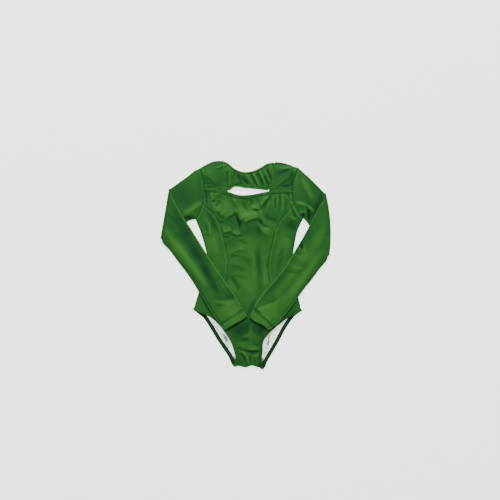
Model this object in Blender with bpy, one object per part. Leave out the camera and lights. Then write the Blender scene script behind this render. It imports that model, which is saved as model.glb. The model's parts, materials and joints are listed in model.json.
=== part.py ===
"""A long-sleeved one-piece leotard laid flat on its back, with both sleeves folded over the front.

+Z is up from the surface it lies on and +Y runs towards the neck. Every table below is in
millimetres, with its columns named above it; meshes are made in metres.
"""

import math

import bpy
import numpy as np

MM = 0.001

# Cloth and sewing
WALL = 1.0
BAND_WALL = 1.6
SEAM = 0.3
LEG_BAND = 13.0
NECK_BAND = 6.0
CUTOUT_BAND = 5.0
CHEST_BAND = 12.0

# Heights of the layers above the surface
BACK_TOP = WALL
LINING_LOW = BACK_TOP + SEAM
LINING_TOP = LINING_LOW + WALL
SEAM_LOW = BACK_TOP + SEAM
FRONT_LOW = LINING_TOP + 0.4
BAND_FRONT_LOW = 2.1
HIP_LIFT = -105
CROWN = 2.4
EDGE_ROLL = 9.0

# Sleeve, pressed flat: half its height, and the radius of the fold that turns it back over itself
SLEEVE_HALF = (FRONT_LOW + WALL) / 2
FOLD_RADIUS = 2.6
FOLD_STEPS = 6
LEG_RINGS = 27
SLEEVE_CLEAR = 0.8
DRAPE = 26.0

# Outline curves, each from its first named end to its last: x, y
SHOULDER_LEFT = [(-81, 354), (-111, 351), (-139, 338), (-158, 327)]
SHOULDER_RIGHT = [(95, 348), (107, 349), (128, 346), (149, 340), (166, 333), (181, 328)]
NECK_FRONT = [(-81, 354), (-60, 345), (-38, 327), (-16, 317), (3, 315), (25, 319), (49, 330), (71, 343), (95, 348)]
NECK_BACK = [
    (-81, 354), (-64, 334), (-60, 300), (-61, 255), (-52, 210), (-25, 178), (8, 168),
    (41, 178), (69, 210), (79, 255), (78, 300), (81, 330), (95, 348),
]
CHEST_LINE = [(-142, 262), (-101, 258), (-57, 247), (-22, 237), (16, 238), (65, 247), (90, 252), (117, 254), (160, 255)]
CUTOUT_TOP = [(-57, 248), (-49, 257), (-40, 263), (-28, 264), (-6, 260), (38, 256), (78, 251)]
SIDE_LEFT = [
    (-171, 154), (-156, 118), (-145, 84), (-137, 54), (-131, 25), (-132, -11), (-143, -52), (-159, -91),
    (-169, -123), (-179, -152),
]
SIDE_RIGHT = [
    (196, 157), (186, 139), (175, 113), (169, 86), (162, 44), (159, 9), (161, -35), (168, -72), (178, -110),
    (186, -140), (191, -157),
]
PRINCESS_LEFT = [
    (-149, 207), (-112, 174), (-88, 136), (-74, 85), (-64, 33), (-61, 6), (-67, -58), (-76, -103), (-81, -150),
    (-82, -194),
]
PRINCESS_RIGHT = [
    (168, 206), (138, 174), (114, 144), (100, 112), (91, 75), (81, 33), (77, 7), (77, -12), (83, -58), (91, -103),
    (97, -154), (99, -196),
]
LEG_FRONT_LEFT = [
    (-179, -152), (-142, -168), (-115, -182), (-88, -208), (-65, -239), (-53, -258), (-44, -280), (-37, -304),
    (-34, -322), (-41, -346),
]
LEG_FRONT_RIGHT = [
    (191, -157), (147, -179), (125, -194), (93, -220), (71, -243), (62, -256), (58, -272), (58, -293), (55, -315),
    (54, -331), (61, -354),
]
LEG_BACK_LEFT = [
    (-179, -152), (-167, -162), (-149, -176), (-137, -190), (-120, -217), (-95, -258), (-77, -285), (-59, -312),
    (-49, -335), (-41, -346),
]
LEG_BACK_RIGHT = [
    (191, -157), (177, -166), (164, -177), (149, -197), (132, -224), (111, -264), (87, -305), (74, -328),
    (68, -343), (61, -354),
]
CROTCH_FOLD = [(-41, -346), (-26, -344), (-1, -349), (20, -343), (40, -348), (61, -354)]

# Armholes are shallow bows between the shoulder tip and the armpit: tip x, tip y, armpit x, armpit y, bow
ARMHOLE_LEFT = (-158, 327, -171, 154, 21)
ARMHOLE_RIGHT = (181, 328, 196, 157, -28)

# Sleeve sections, from the armhole to the fold and from the fold to the cuff.
# edge x, y: the shoulder side. under x, y: the underarm side. bow: sideways belly of the row. puff: fullness.
# reach: how much of the row is used, since the seam stops just short of the armpit.
UPPER_LEFT = [
    (-158, 327, -171, 154, 21, 0.0, 0.97),
    (-176, 318, -188, 151, 16, 0.5, 1),
    (-200, 299, -212, 137, 8, 0.8, 1),
    (-232, 276, -248, 115, 2, 0.5, 1),
    (-257, 258, -286, 88, 0, 0.0, 1),
]
LOWER_LEFT = [
    (-254, 242, -281, 72, 0, 0.3, 1),
    (-238, 208, -262, 52, 0, 0.9, 1),
    (-212, 163, -243, 27, 0, 1.4, 1),
    (-180, 113, -218, -6, 0, 1.6, 1),
    (-140, 49, -190, -44, 0, 1.6, 1),
    (-100, -12, -161, -90, 0, 1.5, 1),
    (-67, -58, -139, -128, 0, 1.4, 1),
    (-33, -108, -117, -164, 0, 1.3, 1),
    (-13, -144, -93, -198, 0, 1.2, 1),
    (5, -174, -75, -225, 0, 1.0, 1),
]
UPPER_RIGHT = [
    (181, 328, 196, 157, -28, 0.0, 0.93),
    (197, 313, 210, 141, -19, 0.5, 1),
    (222, 290, 230, 108, -8, 0.8, 1),
    (250, 262, 257, 65, 4, 0.5, 1),
    (268, 243, 280, 30, 10, 0.0, 1),
]
LOWER_RIGHT = [
    (265, 221, 274, 13, 9, 0.3, 1),
    (251, 201, 257, -7, 6, 0.9, 1),
    (226, 153, 239, -31, 2, 1.4, 1),
    (200, 103, 218, -59, 0, 1.6, 1),
    (169, 51, 196, -86, 0, 1.6, 1),
    (136, -3, 172, -119, 0, 1.5, 1),
    (104, -43, 148, -153, 0, 1.4, 1),
    (72, -80, 127, -179, 0, 1.3, 1),
    (39, -122, 104, -206, 0, 1.2, 1),
    (14, -176, 78, -222, 0, 1.0, 1),
]

# Gathers that run from the neck elastic to the cut-out, and the yoke's creases: x, y, x, y, width, height
YOKE_FOLDS = [
    (-23, 311, -21, 286, 4.0, -1.5),
    (-14, 309, -9, 292, 3.5, 1.0),
    (-6, 304, 0, 272, 4.0, -1.6),
    (3, 308, 12, 285, 3.5, 1.1),
    (16, 307, 25, 287, 3.6, -2.0),
    (25, 287, 34, 268, 3.6, -1.8),
    (28, 312, 40, 284, 3.5, 1.2),
    (42, 313, 51, 289, 3.8, -2.2),
    (51, 289, 65, 266, 3.8, -2.0),
    (54, 318, 66, 290, 3.5, 1.0),
    (60, 324, 72, 288, 3.5, -1.6),
    (72, 288, 77, 266, 3.5, -1.4),
    (74, 326, 84, 296, 4.0, -1.4),
    (-60, 322, -61, 262, 4.0, -0.8),
    (96, 258, 146, 303, 8.0, 1.4),
    (122, 323, 164, 330, 6.0, 1.0),
    (-140, 306, -146, 276, 7.0, -1.2),
    (-100, 324, -70, 336, 6.0, 1.0),
]
# The bodice swag, the creases under the bust and down the belly, and the pull lines of the leg elastic
BODY_FOLDS = [
    (-58, 236, -12, 144, 13.0, 2.6),
    (78, 234, -4, 148, 12.0, 2.2),
    (-40, 168, -30, 142, 7.0, -1.8),
    (-118, 188, -52, 168, 9.0, 1.2),
    (-82, 112, -20, 122, 8.0, 1.6),
    (50, 166, 84, 104, 9.0, 1.6),
    (44, 178, 62, 140, 7.0, -1.4),
    (2, 118, 48, 120, 14.0, -1.4),
    (92, 232, 104, 172, 6.0, 1.2),
    (120, 232, 124, 186, 5.0, -1.2),
    (146, 232, 138, 200, 5.0, -1.2),
    (34, 48, 42, -20, 7.0, -1.8),
    (42, -20, 50, -78, 8.0, -1.8),
    (-50, -44, -24, -92, 7.0, -1.2),
    (-128, 176, -96, 104, 7.0, -1.4),
    (-150, 118, -120, 40, 8.0, 1.2),
    (126, 92, 112, 10, 8.0, -1.2),
    (-24, -262, 44, -252, 8.0, 1.2),
    (-14, -290, 46, -276, 7.0, -1.3),
    (-16, -304, 44, -292, 7.0, 1.2),
    (-14, -308, 12, -340, 5.0, -1.3),
    (20, -306, 14, -336, 6.0, -1.0),
]
# Creases beside the armholes, and the long soft hollows and ridges down the folded-over lower sleeves
UPPER_FOLDS = [
    (-214, 172, -160, 200, 9.0, 0.4),
    (-198, 158, -176, 172, 8.0, -0.4),
    (190, 196, 210, 184, 7.0, -0.4),
    (172, 206, 232, 176, 8.0, 0.4),
]
LOWER_FOLDS = [
    (-214, 148, -146, -8, 12.0, -1.2),
    (-146, -8, -100, -116, 12.0, -1.4),
    (-240, 70, -150, -60, 14.0, 1.1),
    (-150, -60, -96, -152, 13.0, 1.1),
    (-250, 230, -222, 180, 8.0, -0.8),
    (236, 120, 190, 20, 14.0, 0.8),
    (156, -20, 60, -120, 13.0, -1.1),
    (210, -20, 116, -150, 13.0, 1.1),
    (190, 60, 214, 44, 6.0, -1.0),
]

PALETTE = {
    # name: colour, roughness
    "swim_knit": ((0.035, 0.150, 0.030, 1.0), 0.55),
    "elastic_band": ((0.020, 0.110, 0.022, 1.0), 0.60),
    "lining_knit": ((0.80, 0.80, 0.78, 1.0), 0.85),
}


def spline(points, per_span=16):
    """Evenly travelled smooth curve through the points: a function of 0 to 1."""
    p = np.array(points, float)
    ends = np.vstack([2 * p[0] - p[1], p, 2 * p[-1] - p[-2]])
    t = np.linspace(0, 1, per_span, endpoint=False)[:, None]
    runs = []
    for a, b, c, d in zip(ends, ends[1:], ends[2:], ends[3:]):
        runs.append(
            0.5 * (2 * b + (c - a) * t + (2 * a - 5 * b + 4 * c - d) * t**2 + (3 * b - 3 * c + d - a) * t**3)
        )
    q = np.vstack(runs + [p[-1:]])
    far = np.concatenate([[0], np.cumsum(np.linalg.norm(np.diff(q, axis=0), axis=1))])

    def at(share):
        where = np.clip(np.asarray(share, float), 0, 1) * far[-1]
        return np.stack([np.interp(where, far, column) for column in q.T], axis=-1)

    return at


def part_of(curve, first, last, count):
    """Count points of a curve between two shares of its length."""
    return curve(np.linspace(first, last, count))


def beside(points, distance):
    """The points moved sideways, to the left of their direction of travel."""
    along = np.gradient(points, axis=0)
    along /= np.linalg.norm(along, axis=1)[:, None]
    return points + distance * np.stack([-along[:, 1], along[:, 0]], axis=1)


def bowed(row, count_or_shares):
    """Points along one armhole or sleeve row, whose middle is pushed out sideways by the row's bow."""
    ax, ay, bx, by, bow = row
    v = np.linspace(0, 1, count_or_shares) if isinstance(count_or_shares, int) else count_or_shares
    a, b = np.array((ax, ay), float), np.array((bx, by), float)
    chord = (b - a) / np.linalg.norm(b - a)
    side = np.array((-chord[1], chord[0]))
    return a + np.outer(v, b - a) + np.outer(4 * v * (1 - v) * bow, side)


def armhole(row, first_y, last_y, count):
    """Points of an armhole between two heights."""
    y = np.linspace(first_y, last_y, count)
    line = bowed(row, 121)[::-1]
    return np.stack([np.interp(y, line[:, 1], line[:, 0]), y], axis=1)


def band_lines(back_edge, front_edge, width, side, count):
    """Edge and inner lines of a band on the back and on the front, meeting at both folds, and the panels' edges."""
    back = part_of(spline(back_edge), 0, 1, count)
    front = part_of(spline(front_edge), 0, 1, count)
    back_inner, front_inner = beside(back, side * width), beside(front, side * width)
    for end in (0, -1):
        back_inner[end] = front_inner[end] = (back_inner[end] + front_inner[end]) / 2
    panels = [
        inner + SEAM * (inner - edge) / np.linalg.norm(inner - edge, axis=1)[:, None]
        for edge, inner in ((back, back_inner), (front, front_inner))
    ]
    return back, back_inner, front, front_inner, panels[0], panels[1]


def coons(left, right, bottom, top):
    """Grid of points inside four edges. left and right run up, bottom and top run from left to right."""
    rows, columns = len(left), len(bottom)
    v = np.linspace(0, 1, rows)[:, None, None]
    u = np.linspace(0, 1, columns)[None, :, None]
    across = left[:, None] * (1 - u) + right[:, None] * u
    up = bottom[None] * (1 - v) + top[None] * v
    corners = (bottom[0] * (1 - u) + bottom[-1] * u) * (1 - v) + (top[0] * (1 - u) + top[-1] * u) * v
    return across + up - corners


def x_at(points, y, flare):
    """Across position of a side edge at a height. Past its ends the edge runs away from the body."""
    p = np.array(sorted(points, key=lambda q: q[1]), float)
    inside = np.interp(y, p[:, 1], p[:, 0])
    beyond = np.maximum(0, p[0, 1] - y) + np.maximum(0, y - p[-1, 1])
    return inside + flare * beyond


def y_at(points, x):
    p = np.array(sorted(points), float)
    return np.interp(x, p[:, 0], p[:, 1])


def relief(x, y, folds):
    """Sum of soft ridges and hollows. Each is a bell across its line and fades at both ends."""
    total = np.zeros_like(x, dtype=float)
    for x0, y0, x1, y1, width, height in folds:
        length = math.hypot(x1 - x0, y1 - y0)
        ux, uy = (x1 - x0) / length, (y1 - y0) / length
        along = (x - x0) * ux + (y - y0) * uy
        across = (y - y0) * ux - (x - x0) * uy
        past = np.maximum(0, np.maximum(-along, along - length))
        total += height * np.exp(-((across / width) ** 2) - (past / (1.5 * width)) ** 2)
    return total


def seam_distance(x, y):
    """How far a point of the front lies inside the seams where front and back meet, less than 0 outside."""
    left = x - x_at(SIDE_LEFT, y, -2.0)
    right = x_at(SIDE_RIGHT, y, 2.0) - x
    shoulders = SHOULDER_LEFT[::-1] + [(-60, 420), (75, 420)] + SHOULDER_RIGHT
    top = y_at(shoulders, x) - y
    bottom = y - y_at(CROTCH_FOLD, x)
    return np.minimum(np.minimum(left, right), np.minimum(top, bottom))


def armhole_distance(x, y):
    """How far a point of the front lies inside the armholes."""
    left = x - x_at(bowed(ARMHOLE_LEFT, 15).tolist(), y, -2.0)
    right = x_at(bowed(ARMHOLE_RIGHT, 15).tolist(), y, 2.0) - x
    return np.maximum(0, np.minimum(left, right))


def front_low(x, y):
    """Height of the underside of the front cloth: down on the back at the seams, fuller in the middle."""
    inside = np.maximum(0, seam_distance(x, y))
    roll = 1 - np.exp(-((inside / EDGE_ROLL) ** 2))
    body = np.minimum(inside, armhole_distance(x, y))
    crown = CROWN * (1 - np.exp(-((body / 42) ** 2)))
    shape = crown + relief(x, y, YOKE_FOLDS + BODY_FOLDS) * (1 - np.exp(-((body / 12) ** 2)))
    over_band = (BAND_FRONT_LOW - SEAM_LOW) * np.clip((HIP_LIFT - y) / 25, 0, 1)
    seam = SEAM_LOW + over_band
    return seam + (FRONT_LOW - seam) * roll + np.maximum(0, shape)


def material(name):
    colour, roughness = PALETTE[name]
    made = bpy.data.materials.get(name) or bpy.data.materials.new(name)
    made.use_nodes = True
    shader = made.node_tree.nodes["Principled BSDF"]
    shader.inputs["Base Color"].default_value = colour
    shader.inputs["Roughness"].default_value = roughness
    made.diffuse_color = colour
    return made


def volume(points, faces):
    total = 0.0
    for face in faces:
        for b, c in zip(face[1:], face[2:]):
            total += float(np.dot(points[face[0]], np.cross(points[b], points[c])))
    return total


def add_object(name, points, faces, finish):
    points = np.asarray(points) * MM
    if volume(points, faces) < 0:
        faces = [face[::-1] for face in faces]
    mesh = bpy.data.meshes.new(name)
    mesh.from_pydata(points.tolist(), [], faces)
    mesh.validate()
    mesh.materials.append(material(finish))
    mesh.shade_smooth()
    mesh.set_sharp_from_angle(angle=math.radians(50))
    made = bpy.data.objects.new(name, mesh)
    bpy.context.scene.collection.objects.link(made)
    made.parent = bpy.data.objects["leotard"]
    return made


def add_wall(name, low, high, finish):
    """A closed wall between two grids of points that share their shape."""
    rows, columns = low.shape[:2]
    count = rows * columns
    index = np.arange(count).reshape(rows, columns)
    faces = []
    for i in range(rows - 1):
        for j in range(columns - 1):
            a, b, c, d = index[i, j], index[i, j + 1], index[i + 1, j + 1], index[i + 1, j]
            faces.append((a + count, b + count, c + count, d + count))
            faces.append((c, b, a, d))
    rim = [*index[0], *index[1:, -1], *index[-1, -2::-1], *index[-2:0:-1, 0]]
    for a, b in zip(rim, rim[1:] + rim[:1]):
        faces.append((a, b, b + count, a + count))
    faces = [tuple(int(v) for v in face) for face in faces]
    points = np.vstack([low.reshape(-1, 3), high.reshape(-1, 3)])
    return add_object(name, points, faces, finish)


def add_loop(name, rings, finish):
    """A closed band: rings of four corners, the last joined to the first."""
    rings = np.asarray(rings)
    count, corners = rings.shape[:2]
    faces = []
    for i in range(count):
        for j in range(corners):
            a, b = i * corners + j, i * corners + (j + 1) % corners
            c, d = ((i + 1) % count) * corners + (j + 1) % corners, ((i + 1) % count) * corners + j
            faces.append((a, b, c, d))
    return add_object(name, rings.reshape(-1, 3), faces, finish)


def add_tube(name, outer, inner, finish):
    """An open tube with a wall: matching rings outside and inside."""
    outer, inner = np.asarray(outer), np.asarray(inner)
    rings, around = outer.shape[:2]
    count = rings * around
    faces = []
    for i in range(rings - 1):
        for j in range(around):
            k = (j + 1) % around
            a, b, c, d = i * around + j, i * around + k, (i + 1) * around + k, (i + 1) * around + j
            faces.append((a, b, c, d))
            faces.append((c + count, b + count, a + count, d + count))
    last = (rings - 1) * around
    for j in range(around):
        k = (j + 1) % around
        faces.append((k, j, j + count, k + count))
        faces.append((last + j, last + k, last + k + count, last + j + count))
    return add_object(name, np.vstack([outer.reshape(-1, 3), inner.reshape(-1, 3)]), faces, finish)


def lifted(grid, heights):
    return np.concatenate([grid, np.asarray(heights)[..., None]], axis=-1)


def add_front(name, grid, wall, finish):
    """A piece of the front: its underside follows front_low."""
    low = front_low(grid[..., 0], grid[..., 1])
    return add_wall(name, lifted(grid, low), lifted(grid, low + wall), finish)


def chest_band_edges(count):
    """Top and bottom lines of the chest band, left to right, held inside the armholes."""
    top = part_of(spline(CHEST_LINE), 0, 1, count)
    bottom = top - np.array((0, CHEST_BAND))
    for line in (top, bottom):
        line[0] = armhole(ARMHOLE_LEFT, line[0, 1], line[0, 1], 1)[0] + (SEAM, 0)
        line[-1] = armhole(ARMHOLE_RIGHT, line[-1, 1], line[-1, 1], 1)[0] - (SEAM, 0)
    return top, bottom


def yoke():
    columns_side, columns_neck, rows = 8, 37, 9
    neck = band_lines(NECK_BACK, NECK_FRONT, NECK_BAND, -1, columns_neck)[5]
    top = np.vstack([
        part_of(spline(SHOULDER_LEFT), 1, 0.12, columns_side),
        neck,
        part_of(spline(SHOULDER_RIGHT), 0.12, 1, columns_side),
    ])
    arch = beside(part_of(spline(CUTOUT_TOP), 0, 1, columns_neck), CUTOUT_BAND + SEAM)
    line = spline(CHEST_LINE)
    bottom = np.vstack([
        part_of(line, 0, 0.265, columns_side) + (0, SEAM),
        arch,
        part_of(line, 0.745, 1, columns_side) + (0, SEAM),
    ])
    left = armhole(ARMHOLE_LEFT, bottom[0, 1], top[0, 1], rows) + (SEAM, 0)
    right = armhole(ARMHOLE_RIGHT, bottom[-1, 1], top[-1, 1], rows) - (SEAM, 0)
    bottom[0], top[0], bottom[-1], top[-1] = left[0], left[-1], right[0], right[-1]
    return coons(left, right, bottom, top)


def build_front():
    _, chest = chest_band_edges(37)
    half_seam = np.array((SEAM / 2, 0))
    edges = []
    for princess, back, leg, hole, side, corner in (
        (PRINCESS_LEFT, LEG_BACK_LEFT, LEG_FRONT_LEFT, ARMHOLE_LEFT, 1, chest[0]),
        (PRINCESS_RIGHT, LEG_BACK_RIGHT, LEG_FRONT_RIGHT, ARMHOLE_RIGHT, -1, chest[-1]),
    ):
        band = band_lines(back, leg, LEG_BAND, side, LEG_RINGS)[5]
        meet = int(np.argmin(abs(band[:, 0] - princess[-1][0])))
        start = armhole(hole, princess[0][1], princess[0][1], 1)[0] + 3 * side * half_seam
        seam_line = part_of(spline([tuple(start), *princess[1:-1], tuple(band[meet])]), 1, 0, 17)
        top = armhole(hole, seam_line[-1, 1], corner[1] - SEAM, 4)
        inner = np.vstack([
            band[:meet:-1] + side * half_seam,
            seam_line + side * half_seam,
            top[1:] + 2 * side * half_seam,
        ])
        edges.append((inner, band[: meet + 1], seam_line - side * half_seam))
    (left, hip_left, seam_left), (right, hip_right, seam_right) = edges
    rows = max(len(left), len(right))
    left, right = (line if len(line) == rows else part_of(spline(line), 0, 1, rows) for line in (left, right))
    u = np.linspace(0, 1, 21)
    across = left[0, 0] * (1 - u) + right[0, 0] * u
    bottom = np.stack([across, y_at(part_of(spline(CROTCH_FOLD), 0, 1, 41).tolist(), across)], axis=1)
    top = spline(chest - np.array((0, SEAM)))(u)
    bottom[0], bottom[-1], top[0], top[-1] = left[0], right[0], left[-1], right[-1]
    add_front("front_center", coons(left, right, bottom, top), WALL, "swim_knit")
    for name, points, hip, inner, hole, side in (
        ("left", SIDE_LEFT, hip_left, seam_left, ARMHOLE_LEFT, 1),
        ("right", SIDE_RIGHT, hip_right, seam_right, ARMHOLE_RIGHT, -1),
    ):
        columns = len(hip)
        outer = part_of(spline(points), 0.95, 0, len(inner))
        outer[0] = hip[0]
        top = armhole(hole, hole[3], inner[-1, 1], columns) + 2 * side * half_seam
        bottom = hip.copy()
        bottom[-1], top[0], top[-1] = inner[0], outer[-1], inner[-1]
        grid = coons(outer, inner, bottom, top)
        add_front(f"front_side_{name}", grid if side > 0 else grid[:, ::-1], WALL, "swim_knit")


def band_rings(edge, inner, low, high):
    """Four-cornered rings along a band: edge low, inner low, inner high, edge high."""
    return np.array([
        [(*a, low(*a)), (*b, low(*b)), (*b, high(*b)), (*a, high(*a))] for a, b in zip(edge, inner)
    ])


def turned(first, last, outward, steps):
    """Rings that carry a band round a fold, from its lower run to its upper one."""
    z_low, z_high = first[:, 2].mean(), last[:, 2].mean()
    reach = (z_high - z_low) / 2 + np.array((1, 1, -1, -1)) * BAND_WALL / 2
    made = []
    for k in range(1, steps):
        angle = math.pi * k / steps
        ring = first * (1 - k / steps) + last * k / steps
        ring[:, 2] = (z_low + z_high) / 2 - reach * math.cos(angle)
        ring[:, :2] += np.outer(reach * math.sin(angle), outward)
        made.append(ring)
    return made


def wrapped_band(name, back_edge, front_edge, width, side, count, ends):
    """A band sewn round an opening: along the back, round a fold, along the front and round the other fold."""
    back, back_inner, front, front_inner = band_lines(back_edge, front_edge, width, side, count)[:4]

    def over(x, y):
        return float(max(front_low(np.array([x]), np.array([y]))[0], BAND_FRONT_LOW))

    lower = band_rings(back, back_inner, lambda x, y: 0.0, lambda x, y: BAND_WALL)
    upper = band_rings(front[::-1], front_inner[::-1], over, lambda x, y: over(x, y) + BAND_WALL)
    upper = upper[:, (3, 2, 1, 0)]
    far_turn = turned(lower[-1], upper[0], ends[0], 5)
    near_turn = turned(lower[0], upper[-1], ends[1], 5)[::-1]
    return add_loop(name, [*lower, *far_turn, *upper, *near_turn], "elastic_band")


def build_bands():
    for name, back, front, side, out in (
        ("leg_band_left", LEG_BACK_LEFT, LEG_FRONT_LEFT, 1, (-0.9, 0.1)),
        ("leg_band_right", LEG_BACK_RIGHT, LEG_FRONT_RIGHT, -1, (0.9, 0.1)),
    ):
        wrapped_band(name, back, front, LEG_BAND, side, LEG_RINGS, ((0, -1), out))
    wrapped_band("neck_band", NECK_BACK, NECK_FRONT, NECK_BAND, -1, 37, ((0, 1), (0, 1)))
    top, bottom = chest_band_edges(37)
    add_front("chest_band", np.stack([bottom, top]), BAND_WALL, "elastic_band")
    arch = part_of(spline(CUTOUT_TOP), 0.03, 0.98, 25)
    add_front("cutout_band", np.stack([arch, beside(arch, CUTOUT_BAND)]), BAND_WALL, "elastic_band")


def add_plate(name, outline, low, high, finish):
    """A flat panel: one outline, extruded."""
    outline = np.asarray(outline)
    count = len(outline)
    points = np.vstack([lifted(outline, np.full(count, low)), lifted(outline, np.full(count, high))])
    faces = [tuple(range(count, 2 * count)), tuple(range(count - 1, -1, -1))]
    faces += [(i, (i + 1) % count, (i + 1) % count + count, i + count) for i in range(count)]
    return add_object(name, points, faces, finish)


def build_back():
    neck = band_lines(NECK_BACK, NECK_FRONT, NECK_BAND, -1, 37)[4]
    leg_left = band_lines(LEG_BACK_LEFT, LEG_FRONT_LEFT, LEG_BAND, 1, LEG_RINGS)[4]
    leg_right = band_lines(LEG_BACK_RIGHT, LEG_FRONT_RIGHT, LEG_BAND, -1, LEG_RINGS)[4]
    crotch = part_of(spline(CROTCH_FOLD), 0, 1, 41)
    crotch = crotch[(crotch[:, 0] > leg_left[-1, 0] + 4) & (crotch[:, 0] < leg_right[-1, 0] - 4)]
    outline = np.vstack([
        part_of(spline(SHOULDER_LEFT), 0.12, 1, 8),
        armhole(ARMHOLE_LEFT, 326, 156, 16) + (SEAM, 0),
        part_of(spline(SIDE_LEFT), 0, 0.95, 20),
        leg_left[:-1],
        crotch,
        leg_right[:-1][::-1],
        part_of(spline(SIDE_RIGHT), 0.95, 0, 20),
        armhole(ARMHOLE_RIGHT, 159, 327, 16) - (SEAM, 0),
        part_of(spline(SHOULDER_RIGHT), 1, 0.12, 8),
        neck[2:-2][::-1],
    ])
    add_plate("back", outline, 0.0, BACK_TOP, "swim_knit")
    rows, columns = 15, 9
    left = beside(part_of(spline(LEG_BACK_LEFT), 0.08, 0.9, rows), LEG_BAND + 1.0)[::-1]
    right = beside(part_of(spline(LEG_BACK_RIGHT), 0.08, 0.9, rows), -(LEG_BAND + 1.0))[::-1]
    u = np.linspace(0, 1, columns)[:, None]
    grid = coons(left, right, left[0] * (1 - u) + right[0] * u, left[-1] * (1 - u) + right[-1] * u)
    add_wall(
        "back_lining",
        lifted(grid, np.full(grid.shape[:2], LINING_LOW)),
        lifted(grid, np.full(grid.shape[:2], LINING_TOP)),
        "lining_knit",
    )


def section_shares(width):
    """Shares across a flattened sleeve, close together in its rolled edges."""
    roll = SLEEVE_HALF / width
    return np.array([0, 0.3 * roll, roll, *np.linspace(0, 1, 8)[1:-1], 1 - roll, 1 - 0.3 * roll, 1])


def under_sleeve(x, y, armpit, elbow):
    """Height that a folded-over sleeve lies on: the front, its own upper half, or down to the surface."""
    inside = seam_distance(x, y)
    on_body = (front_low(x, y) + WALL + SLEEVE_CLEAR) * np.exp(-((np.minimum(0, inside) / DRAPE) ** 2))
    run = np.array(elbow, float) - armpit
    above = (run[0] * (y - armpit[1]) - run[1] * (x - armpit[0])) / np.hypot(*run) * np.sign(run[0])
    on_arm = 2 * FOLD_RADIUS * np.exp(-((np.minimum(0, above) / DRAPE) ** 2))
    return (on_body**8 + on_arm**8) ** 0.125


def sleeve_ring(row, turn, out, ends, inset):
    """One ring of a sleeve. turn is 0 before the fold, pi after it. inset is 0 outside, WALL inside."""
    width = math.hypot(row[2] - row[0], row[3] - row[1])
    shares = section_shares(width)
    across = (inset + shares * (width - 2 * inset)) / width
    plan = bowed(row[:5], across * row[6])
    half = SLEEVE_HALF - inset
    from_edge = np.minimum(shares, 1 - shares) * (width - 2 * inset)
    rounded = half * np.sqrt(1 - np.maximum(0, 1 - from_edge / half) ** 2)
    folds = UPPER_FOLDS if turn == 0 else LOWER_FOLDS
    full = np.sin(math.pi * across) ** 2 * row[5]
    full = full + np.sin(math.pi * across) * relief(plan[:, 0], plan[:, 1], folds) * (0 if 0 < turn < 3 else 1)
    full = np.maximum(full, -0.4)
    if turn == 0:
        first = lifted(plan, SLEEVE_HALF - rounded)
        second = lifted(plan, SLEEVE_HALF + rounded + full)
    elif turn < 3:
        reach = FOLD_RADIUS + SLEEVE_HALF
        faces = []
        for depth in (SLEEVE_HALF - rounded, SLEEVE_HALF + rounded):
            swing = reach - depth
            where = plan + np.outer(swing * math.sin(turn), out)
            faces.append(lifted(where, reach - swing * math.cos(turn)))
        first, second = faces
    else:
        rest = under_sleeve(plan[:, 0], plan[:, 1], *ends)
        first = lifted(plan, rest + SLEEVE_HALF + rounded + full)
        second = lifted(plan, rest + SLEEVE_HALF - rounded)
    return np.vstack([first, second[-2:0:-1]])


def add_sleeve(name, upper, lower, out, rows_upper, rows_lower):
    """One sleeve: flat from the armhole to the fold, then turned back over itself and the front."""
    ends = (upper[0][2:4], upper[-1][2:4])
    steps = [(row, 0.0) for row in part_of(spline(upper), 0, 1, rows_upper)]
    steps += [(np.array(upper[-1], float), math.pi * k / FOLD_STEPS) for k in range(1, FOLD_STEPS)]
    steps += [(row, math.pi) for row in part_of(spline([upper[-1]] + lower), 0, 1, rows_lower)]
    outer = [sleeve_ring(row, turn, out, ends, 0.0) for row, turn in steps]
    inner = [sleeve_ring(row, turn, out, ends, WALL) for row, turn in steps]
    return add_tube(name, outer, inner, "swim_knit")


def clear_scene():
    for old in list(bpy.data.objects):
        bpy.data.objects.remove(old)


def main():
    clear_scene()
    root = bpy.data.objects.new("leotard", None)
    bpy.context.scene.collection.objects.link(root)
    build_back()
    build_front()
    add_front("front_yoke", yoke(), WALL, "swim_knit")
    build_bands()
    add_sleeve("sleeve_left", UPPER_LEFT, LOWER_LEFT, (-0.986, 0.167), 7, 13)
    add_sleeve("sleeve_right", UPPER_RIGHT, LOWER_RIGHT, (0.999, 0.047), 7, 13)


main()
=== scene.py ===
"""Looks of the long-sleeved leotard laid flat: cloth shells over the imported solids, bands, stitching, lining.

Tables are in millimetres in the row frame, or in pixels of the photograph where they say so. Left and
right are the photograph's. Meshes are in metres.
"""

import json
import math

import bpy
import numpy as np
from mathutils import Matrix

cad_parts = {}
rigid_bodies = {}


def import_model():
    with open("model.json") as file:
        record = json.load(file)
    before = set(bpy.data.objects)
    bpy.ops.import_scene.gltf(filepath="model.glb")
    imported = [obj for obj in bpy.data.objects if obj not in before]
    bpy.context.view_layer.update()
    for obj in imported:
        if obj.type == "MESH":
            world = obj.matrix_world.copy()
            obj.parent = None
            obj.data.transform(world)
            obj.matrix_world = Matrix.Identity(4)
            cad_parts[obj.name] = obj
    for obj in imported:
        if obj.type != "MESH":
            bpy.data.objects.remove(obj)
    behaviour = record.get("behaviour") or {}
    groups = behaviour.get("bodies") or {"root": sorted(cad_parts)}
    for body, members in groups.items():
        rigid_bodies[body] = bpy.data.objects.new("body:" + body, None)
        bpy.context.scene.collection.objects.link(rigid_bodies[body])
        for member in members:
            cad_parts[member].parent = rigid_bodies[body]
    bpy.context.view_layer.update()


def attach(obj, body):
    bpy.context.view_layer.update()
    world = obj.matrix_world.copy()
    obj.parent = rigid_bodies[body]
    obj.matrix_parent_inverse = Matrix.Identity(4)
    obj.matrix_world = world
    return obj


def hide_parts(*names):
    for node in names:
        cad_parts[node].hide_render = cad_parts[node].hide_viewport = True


MM = 0.001

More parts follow.
